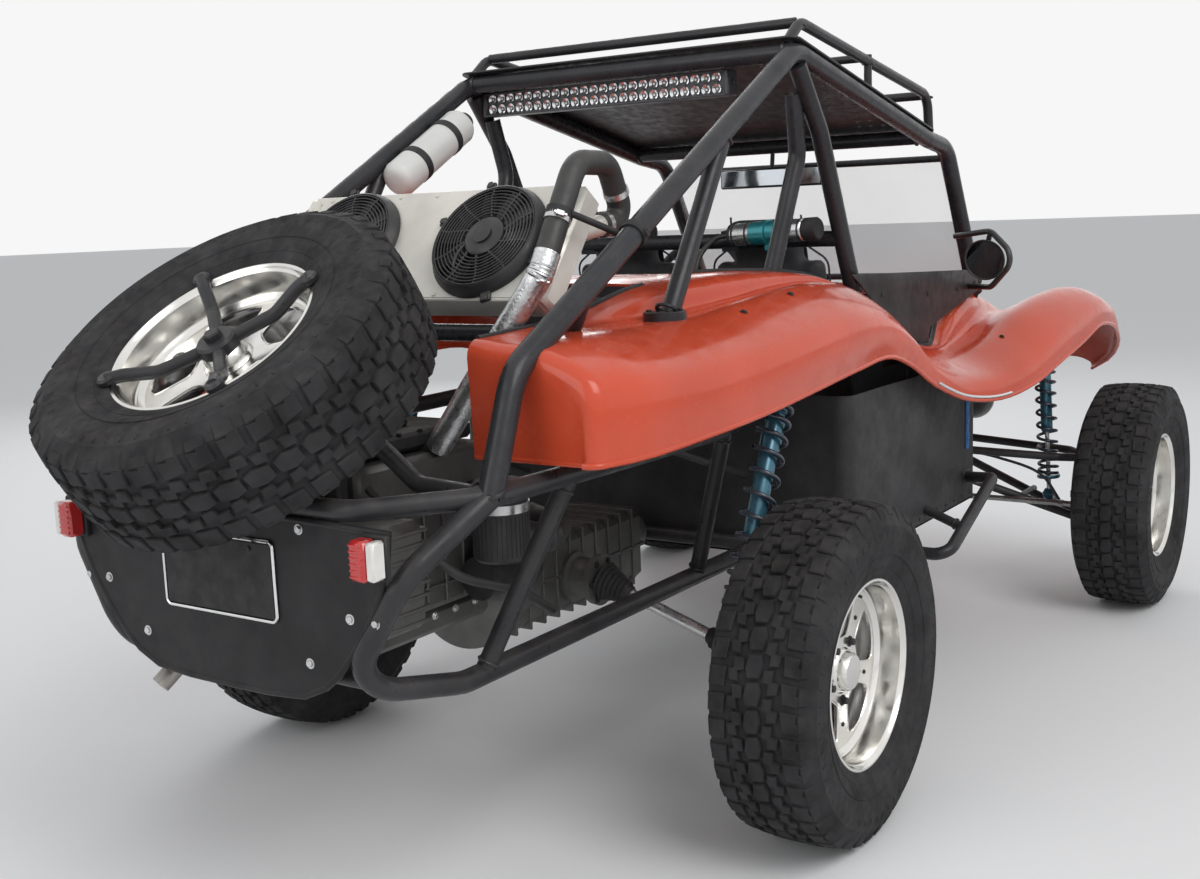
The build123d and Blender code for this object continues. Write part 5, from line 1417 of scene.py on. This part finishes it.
def gearbox():
    case, shafts, boots = Form(), Form(), Form()
    case.block((-286, 326), (-106, 106), (424, 616), 22)
    for x in range(-240, 320, 56):
        case.block((x - 4, x + 4), (-110, 110), (420, 620), 3)
    case.block((-280, 322), (-110, 110), (514, 524), 3)
    case.lathe([(0.5, 0), (160, 0), (167, 5), (167, 16), (158, 22), (122, 139), (0.5, 139)],
               placed((-289, 0, 560), (0.99, 0, -0.14), (0, 1, 0)), 56)
    case.lathe([(0.5, 0), (64, 0), (69, 5), (58, 60), (50, 100), (40, 104), (0.5, 104)],
               placed((326, 0, 520), (1, 0, 0), (0, 1, 0)), 40)
    for s in (-1, 1):
        m = placed((0, 105 * s, 505), (0, s, 0))
        case.lathe([(0.5, 0), (62, 0), (62, 12), (50, 16), (46, 62), (60, 66), (62, 84), (0.5, 85)], m, 40)
        for k in range(6):
            a = tau * k / 6
            boots.bolt((50 * cos(a), 190 * s, 505 + 50 * sin(a)), (0, s, 0), 6, 5)
        start, end = Vector((0, 190 * s, 505)), Vector((0, 560 * s, 383))
        shafts.tube([start, end], 14, sides=20)
        for origin, axis in ((start, end - start), (end, start - end)):
            ribbed = []
            for k in range(7):
                big = 49 - 3.6 * k
                ribbed += [(big, 4 + 11 * k), (big - 6, 9.5 + 11 * k)]
            boots.lathe([(0.5, 2)] + ribbed + [(20, 82), (16, 86), (0.5, 86)],
                        placed(origin, axis, (1, 0, 0)), 36)
    piece("gearbox_case", case, "gearbox_grey", hides=("transaxle",))
    piece("drive_shafts", shafts, "gearbox_grey", "silver")
    piece("shaft_boots", boots, "gearbox_grey", "dark")


def wiring():
    """Cables and hoses that fill the engine bay."""
    looms = Form()
    routes = (
        (9, (-740, -150, 860), (-760, -260, 800), (-700, -330, 700), (-560, -360, 640), (-420, -345, 560)),
        (10, (-300, -120, 840), (-200, -220, 900), (-60, -330, 870), (120, -370, 800), (420, -360, 700)),
        (10, (-300, 120, 840), (-180, 260, 880), (-40, 330, 860), (200, 370, 760), (450, 360, 660)),
        (12, (-640, 130, 880), (-620, 260, 900), (-520, 350, 850), (-430, 360, 700)),
        (24, (-480, -110, 905), (-470, -60, 880), (-440, -40, 860)),
        (7, (-800, -20, 850), (-900, 120, 800), (-930, 250, 700), (-900, 300, 560)),
    )
    for radius, *route in routes:
        looms.tube(soft_points(route, 8), radius, sides=12)
    piece("looms", looms, "hose_black")


# suspension
def coilover(bodies, coils, bright, top, low, body_r, coil_r, wire_r, turns):
    """Damper with its rod, seats and eyes, and a coil with closed ends."""
    a, b = Vector(top), Vector(low)
    axis, length = (b - a).normalized(), (b - a).length
    m = placed(a, axis, (0, 1, 0))
    bodies.lathe([(0.5, 14), (body_r - 5, 16), (body_r, 24), (body_r, 0.6 * length),
                  (body_r - 3, 0.615 * length), (0.5, 0.62 * length)], m, 32)
    for k in range(16):
        h = 66 + k * 5
        bodies.lathe([(body_r - 0.5, h - 1.4), (body_r + 1.4, h), (body_r - 0.5, h + 1.4)], m, 32)
    bright.tube([m @ Vector((0, 0, 0.6 * length)), m @ Vector((0, 0, length))], body_r * 0.38, sides=16)
    for h in (50, length - 70):
        bodies.lathe([(body_r - 6, h), (coil_r, h), (coil_r + 2, h + 3), (coil_r + 2, h + 9),
                      (coil_r, h + 12), (body_r - 6, h + 12)], m, 40)
    for p in (a, b):
        eye = placed(p - Vector((0, 16, 0)), (0, 1, 0))
        bodies.lathe([(12, 1), (17, 0), (20, 3), (20, 29), (17, 32), (12, 31)], eye, 28)
        bright.tube([p - Vector((0, 15, 0)), p + Vector((0, 15, 0))], 11.5, sides=20)
        bright.bolt(p + Vector((0, 15, 0)), (0, 1, 0), 8, 7)
        bright.bolt(p - Vector((0, 15, 0)), (0, -1, 0), 8, 7)
    start, end, count = 68.0, length - 76.0, turns * 26
    coil = []
    for k in range(count + 1):
        t = k / count
        eased = t - 0.055 * sin(tau * t)
        angle = tau * turns * t
        radius = coil_r - wire_r
        coil.append(m @ Vector((radius * cos(angle), radius * sin(angle), start + (end - start) * eased)))
    coils.tube(coil, wire_r, sides=10)


def coilovers():
    bodies, coils, bright = Form(), Form(), Form()
    coilover(bodies, coils, bright, (176, 600, 1034), (-122, 600, 414), 22, 41, 6.0, 14)
    coilover(bodies, coils, bright, (WHEELBASE - 16, 612, 925), (WHEELBASE - 16, 640, 352), 20, 37, 5.4, 13)
    can = placed((236, 560, 980), (-0.43, 0, -0.9), (0, 1, 0))
    bodies.lathe([(0.5, 0), (22, 0), (26, 5), (26, 175), (22, 182), (0.5, 182)], can, 32)
    bright.tube(soft_points([(236, 560, 980), (250, 566, 1020), (220, 584, 1044), (188, 596, 1036)], 6), 5,
                sides=10)
    piece("damper_bodies", bodies.both_sides(), "damper_blue", hides=("dampers",))
    piece("damper_rods", bright.both_sides(), "damper_blue", "silver")
    piece("coils", coils.both_sides(), "spring_black", hides=("springs",))


def trailing_arms():
    arms, drums, hard = Form(), Form(), Form()
    arms.tube([(560, 400, 440), (330, 470, 430), (30, 585, 390)], 33, 120, 24)
    arms.block((-158, 18), (577, 623), (373, 431), 9)
    arms.tube([(560, 342, 440), (560, 458, 440)], 29, sides=28)
    arms.lathe([(0.5, 0), (64, 0), (74, 8), (74, 72), (66, 80), (0.5, 80)],
               placed((0, 560, AXLE_Z), (0, 1, 0)), 48)
    for p, axis in (((505, 417, 438), (0.95, -0.3, 0)), ((90, 562, 398), (0.9, -0.35, 0.1))):
        arms.weld(p, axis, 33.5, 4)
    arms.tube([(300, 478, 462), (190, 520, 452), (80, 560, 440)], 9, 40, 12)
    m = placed((0, 640, AXLE_Z), (0, 1, 0))
    drums.lathe([(0.5, 0), (104, 0), (116, 6), (118, 12), (118, 70), (112, 78), (60, 80), (0.5, 80)], m, 64)
    for k in range(24):
        drums.block((112, 118), (-2.5, 2.5), (16, 66), 1.5, m @ Matrix.Rotation(tau * k / 24, 4, "Z"))
    for k in range(6):
        a = tau * k / 6
        hard.bolt((56 * cos(a), 566, AXLE_Z + 56 * sin(a)), (0, -1, 0), 8, 8)
    hard.bolt((560, 458, 440), (0, 1, 0), 15, 10)
    piece("trailing_arms", arms.both_sides(), "arm_black", hides=("rear_arms",))
    piece("rear_drums", drums.both_sides(), "arm_black", "silver")
    piece("arm_bolts", hard.both_sides(), "arm_black", "zinc")


def wishbones():
    bones = Form()
    x, up, low = WHEELBASE, 486, 264
    upper = (x - 166, 322, RAIL_Z + 8), (x + 124, 228, RAIL_Z + 8)
    lower = (x - 176, 328, 440), (x + 154, 260, 440)
    for bend, pivot in zip((-78, 78), upper):
        bones.tube([(x, KING_Y - 24, up), (x + bend, KING_Y - 104, up + 10), pivot], 14, 40, 16)
    for pivot in lower:
        bones.tube([(x, KING_Y - 24, low), pivot], 15)
    bones.tube([(x - 74, 640, 323), (x + 66, 640, 323)], 10, sides=16)
    bones.tube([(x - 88, 560, 350), (x + 75, 560, 350)], 11, sides=14)
    for z in (up, low):
        bones.lathe([(12.5, -13), (24, -13), (26, -11), (26, 11), (24, 13), (12.5, 13)],
                    placed((x, KING_Y, z), (0, 0, 1)), 32)
    for pivot in upper + lower:
        bones.lathe([(13, -19), (21, -17), (23, -12), (23, 12), (21, 17), (13, 19)],
                    placed(pivot, (0.97, -0.22, 0)), 24)
    piece("wishbones", bones.both_sides(), "arm_black", hides=("front_arms",))
    brake_line = Form()
    brake_line.tube(soft_points([(x - 60, 330, 500), (x - 70, 480, 478), (x - 60, 620, 430),
                                 (x - 64, 700, 330), (x - 50, 735, 330)], 8), 5, sides=10)
    brake_line.both_sides()
    piece("brake_lines", brake_line, "hose_black")


def uprights():
    x = WHEELBASE
    for s, tag in ((1, "left"), (-1, "right")):
        form = Form()
        form.lathe([(0.5, -91), (19, -91), (22, -87), (22, 87), (19, 91), (0.5, 91)],
                   placed((x, KING_Y * s, AXLE_Z), (0, 0, 1)), 32)
        form.tube([(x, KING_Y * s, 250), (x, KING_Y * s, 500)], 11.5, sides=20)
        m = placed((x, (KING_Y + 12) * s, AXLE_Z), (0, s, 0))
        form.lathe([(0.5, 0), (78, 0), (88, 5), (90, 10), (90, 50), (84, 57), (50, 58), (0.5, 58)], m, 56)
        for k in range(18):
            form.block((86, 90), (-2.5, 2.5), (14, 46), 1.2, m @ Matrix.Rotation(tau * k / 18, 4, "Z"))
        form.tube([(x, KING_Y * s, 380), (x - 60, (KING_Y - 12) * s, 380),
                   (x - 120, (KING_Y - 30) * s, 380)], [15, 13, 12], sides=18)
        form.lathe([(10, -13), (17, -13), (19, -10), (19, 10), (17, 13), (10, 13)],
                   placed((x - 120, (KING_Y - 30) * s, 380), (0, 0, 1)), 28)
        form.tube([(x, (KING_Y + 60) * s, AXLE_Z), (x, (FRONT_HALF_TRACK + 18) * s, AXLE_Z)], 21.5,
                  sides=28)
        piece("upright_" + tag, form, "knuckle_grey", body="upright_" + tag, hides=("knuckle_" + tag,))


def steering_rack():
    x = WHEELBASE
    rack = Form()
    rx, rz, eye_y = x - 120, 344, KING_Y - 30
    rack.tube([(rx, -eye_y, rz), (rx, eye_y, rz)], 9.8, sides=20)
    rack.tube([(rx, -300, rz), (rx, 300, rz)], 13.6, sides=24)
    for s in (-1, 1):
        rack.lathe([(8, -12), (16, -12), (18, -9), (18, 9), (16, 12), (8, 12)],
                   placed((rx, eye_y * s, rz), (0, 0, 1)), 28)
        rack.disc(placed((rx, (eye_y - 50) * s, rz), (0, s, 0)), 13, -8, 8, 1.5, 6)
    piece("rack_bar", rack, "rack_grey", body="rack", hides=("tie_rods",))


# stage, light and camera
CAMERA_AT = (-3.342, -2.005, 1.362)
CAMERA_YAW = 0.595
CAMERA_PITCH = 0.158
CAMERA_ROLL = -0.037
FOCAL_SHARE = 1380.7 / 1200
SENSOR = 36.0
FLOOR_COLOUR = (0.97, 0.97, 0.97)
FLOOR_REACH = 120.0
SKY_COLOUR = (0.95, 0.97, 1.0)
SKY_STRENGTH = 0.46
BACKDROP = (0.93, 0.93, 0.93)
LAMP_SIZE = 4.0
LAMPS = {
    # place, point aimed at, power
    "key": ((-2.5, -5.0, 5.5), (0, 0, 0.8), 210),
    "rear_fill": ((-6.0, 1.5, 3.0), (0, 0, 0.9), 60),
    "front_fill": ((5.0, 4.5, 4.0), (0, 0, 0.9), 110),
}


def pale_when_seen(nodes, link, lit, seen, out):
    """Mixes a lit shader with a plain one for rays from the camera, mirrors and glass."""
    path = nodes.new("ShaderNodeLightPath")
    total = nodes.new("ShaderNodeMath")
    total.operation, total.use_clamp = "ADD", True
    second = nodes.new("ShaderNodeMath")
    second.operation, second.use_clamp = "ADD", True
    link(path.outputs["Is Camera Ray"], total.inputs[0])
    link(path.outputs["Is Glossy Ray"], total.inputs[1])
    link(total.outputs["Value"], second.inputs[0])
    link(path.outputs["Is Transmission Ray"], second.inputs[1])
    mixer = nodes.new("ShaderNodeMixShader")
    link(second.outputs["Value"], mixer.inputs["Fac"])
    link(lit, mixer.inputs[1])
    link(seen, mixer.inputs[2])
    link(mixer.outputs["Shader"], out)


def stage():
    floor = bpy.data.meshes.new("floor")
    reach = FLOOR_REACH
    floor.from_pydata([(-reach, -reach, 0), (reach, -reach, 0), (reach, reach, 0), (-reach, reach, 0)], [],
                      [(0, 1, 2, 3)])
    obj = bpy.data.objects.new("floor", floor)
    bpy.context.collection.objects.link(obj)
    mat = bpy.data.materials.new("floor")
    mat.use_nodes = True
    nodes, link = mat.node_tree.nodes, mat.node_tree.links.new
    shader = nodes["Principled BSDF"]
    shader.inputs["Base Color"].default_value = (*FLOOR_COLOUR, 1)
    shader.inputs["Roughness"].default_value = 0.9
    floor.materials.append(mat)

    world = bpy.data.worlds.new("studio")
    bpy.context.scene.world = world
    world.use_nodes = True
    nodes, link = world.node_tree.nodes, world.node_tree.links.new
    back = nodes["Background"]
    back.inputs["Color"].default_value = (*SKY_COLOUR, 1)
    back.inputs["Strength"].default_value = SKY_STRENGTH
    seen = nodes.new("ShaderNodeBackground")
    seen.inputs["Color"].default_value = (*BACKDROP, 1)
    seen.inputs["Strength"].default_value = 1.0
    pale_when_seen(nodes, link, back.outputs[0], seen.outputs[0], nodes["World Output"].inputs["Surface"])


def lamps():
    for name, (place, aim, power) in LAMPS.items():
        light = bpy.data.lights.new(name, "AREA")
        light.size, light.energy = LAMP_SIZE, power
        obj = bpy.data.objects.new(name, light)
        obj.location = place
        obj.rotation_euler = (Vector(aim) - Vector(place)).to_track_quat("-Z", "Y").to_euler()
        bpy.context.collection.objects.link(obj)


def camera():
    data = bpy.data.cameras.new("camera")
    data.sensor_width, data.lens = SENSOR, SENSOR * FOCAL_SHARE
    data.clip_end = 200
    obj = bpy.data.objects.new("camera", data)
    bpy.context.collection.objects.link(obj)
    p, y = CAMERA_PITCH, CAMERA_YAW
    forward = Vector((cos(p) * cos(y), cos(p) * sin(y), -sin(p)))
    right = forward.cross(Vector((0, 0, 1))).normalized()
    up = right.cross(forward)
    turned_right = right * cos(CAMERA_ROLL) + up * sin(CAMERA_ROLL)
    turned_up = up * cos(CAMERA_ROLL) - right * sin(CAMERA_ROLL)
    rows = Matrix((turned_right, turned_up, -forward)).transposed().to_4x4()
    obj.matrix_world = Matrix.Translation(CAMERA_AT) @ rows
    bpy.context.scene.camera = obj
    bpy.context.scene.view_settings.view_transform = "Standard"


def finish_nodes():
    """Every CAD node that stays visible takes the detailed material of its own slot."""
    for obj in frame["nodes"].values():
        for slot in obj.material_slots:
            kept = slot.material.name.split(".")[0] if slot.material else ""
            slot.material = LOOKS.get(kept, LOOKS["chassis_black"])


finish_nodes()
for build in (cage, chassis, roof, roof_rack, light_bar, side_bars, wheels, spare, body, tub, front_lamps,
              dials_and_switches, levers, steering, seats_and_belts, mirrors, radiator, fan_units,
              coolant_hose, canister, reservoir, engine, intake, exhaust, wiring, gearbox, panel_bolts,
              tail_sheet, blank_plate, tail_lamps, coilovers, trailing_arms, wishbones, uprights,
              steering_rack):
    build()
stage()
lamps()
camera()
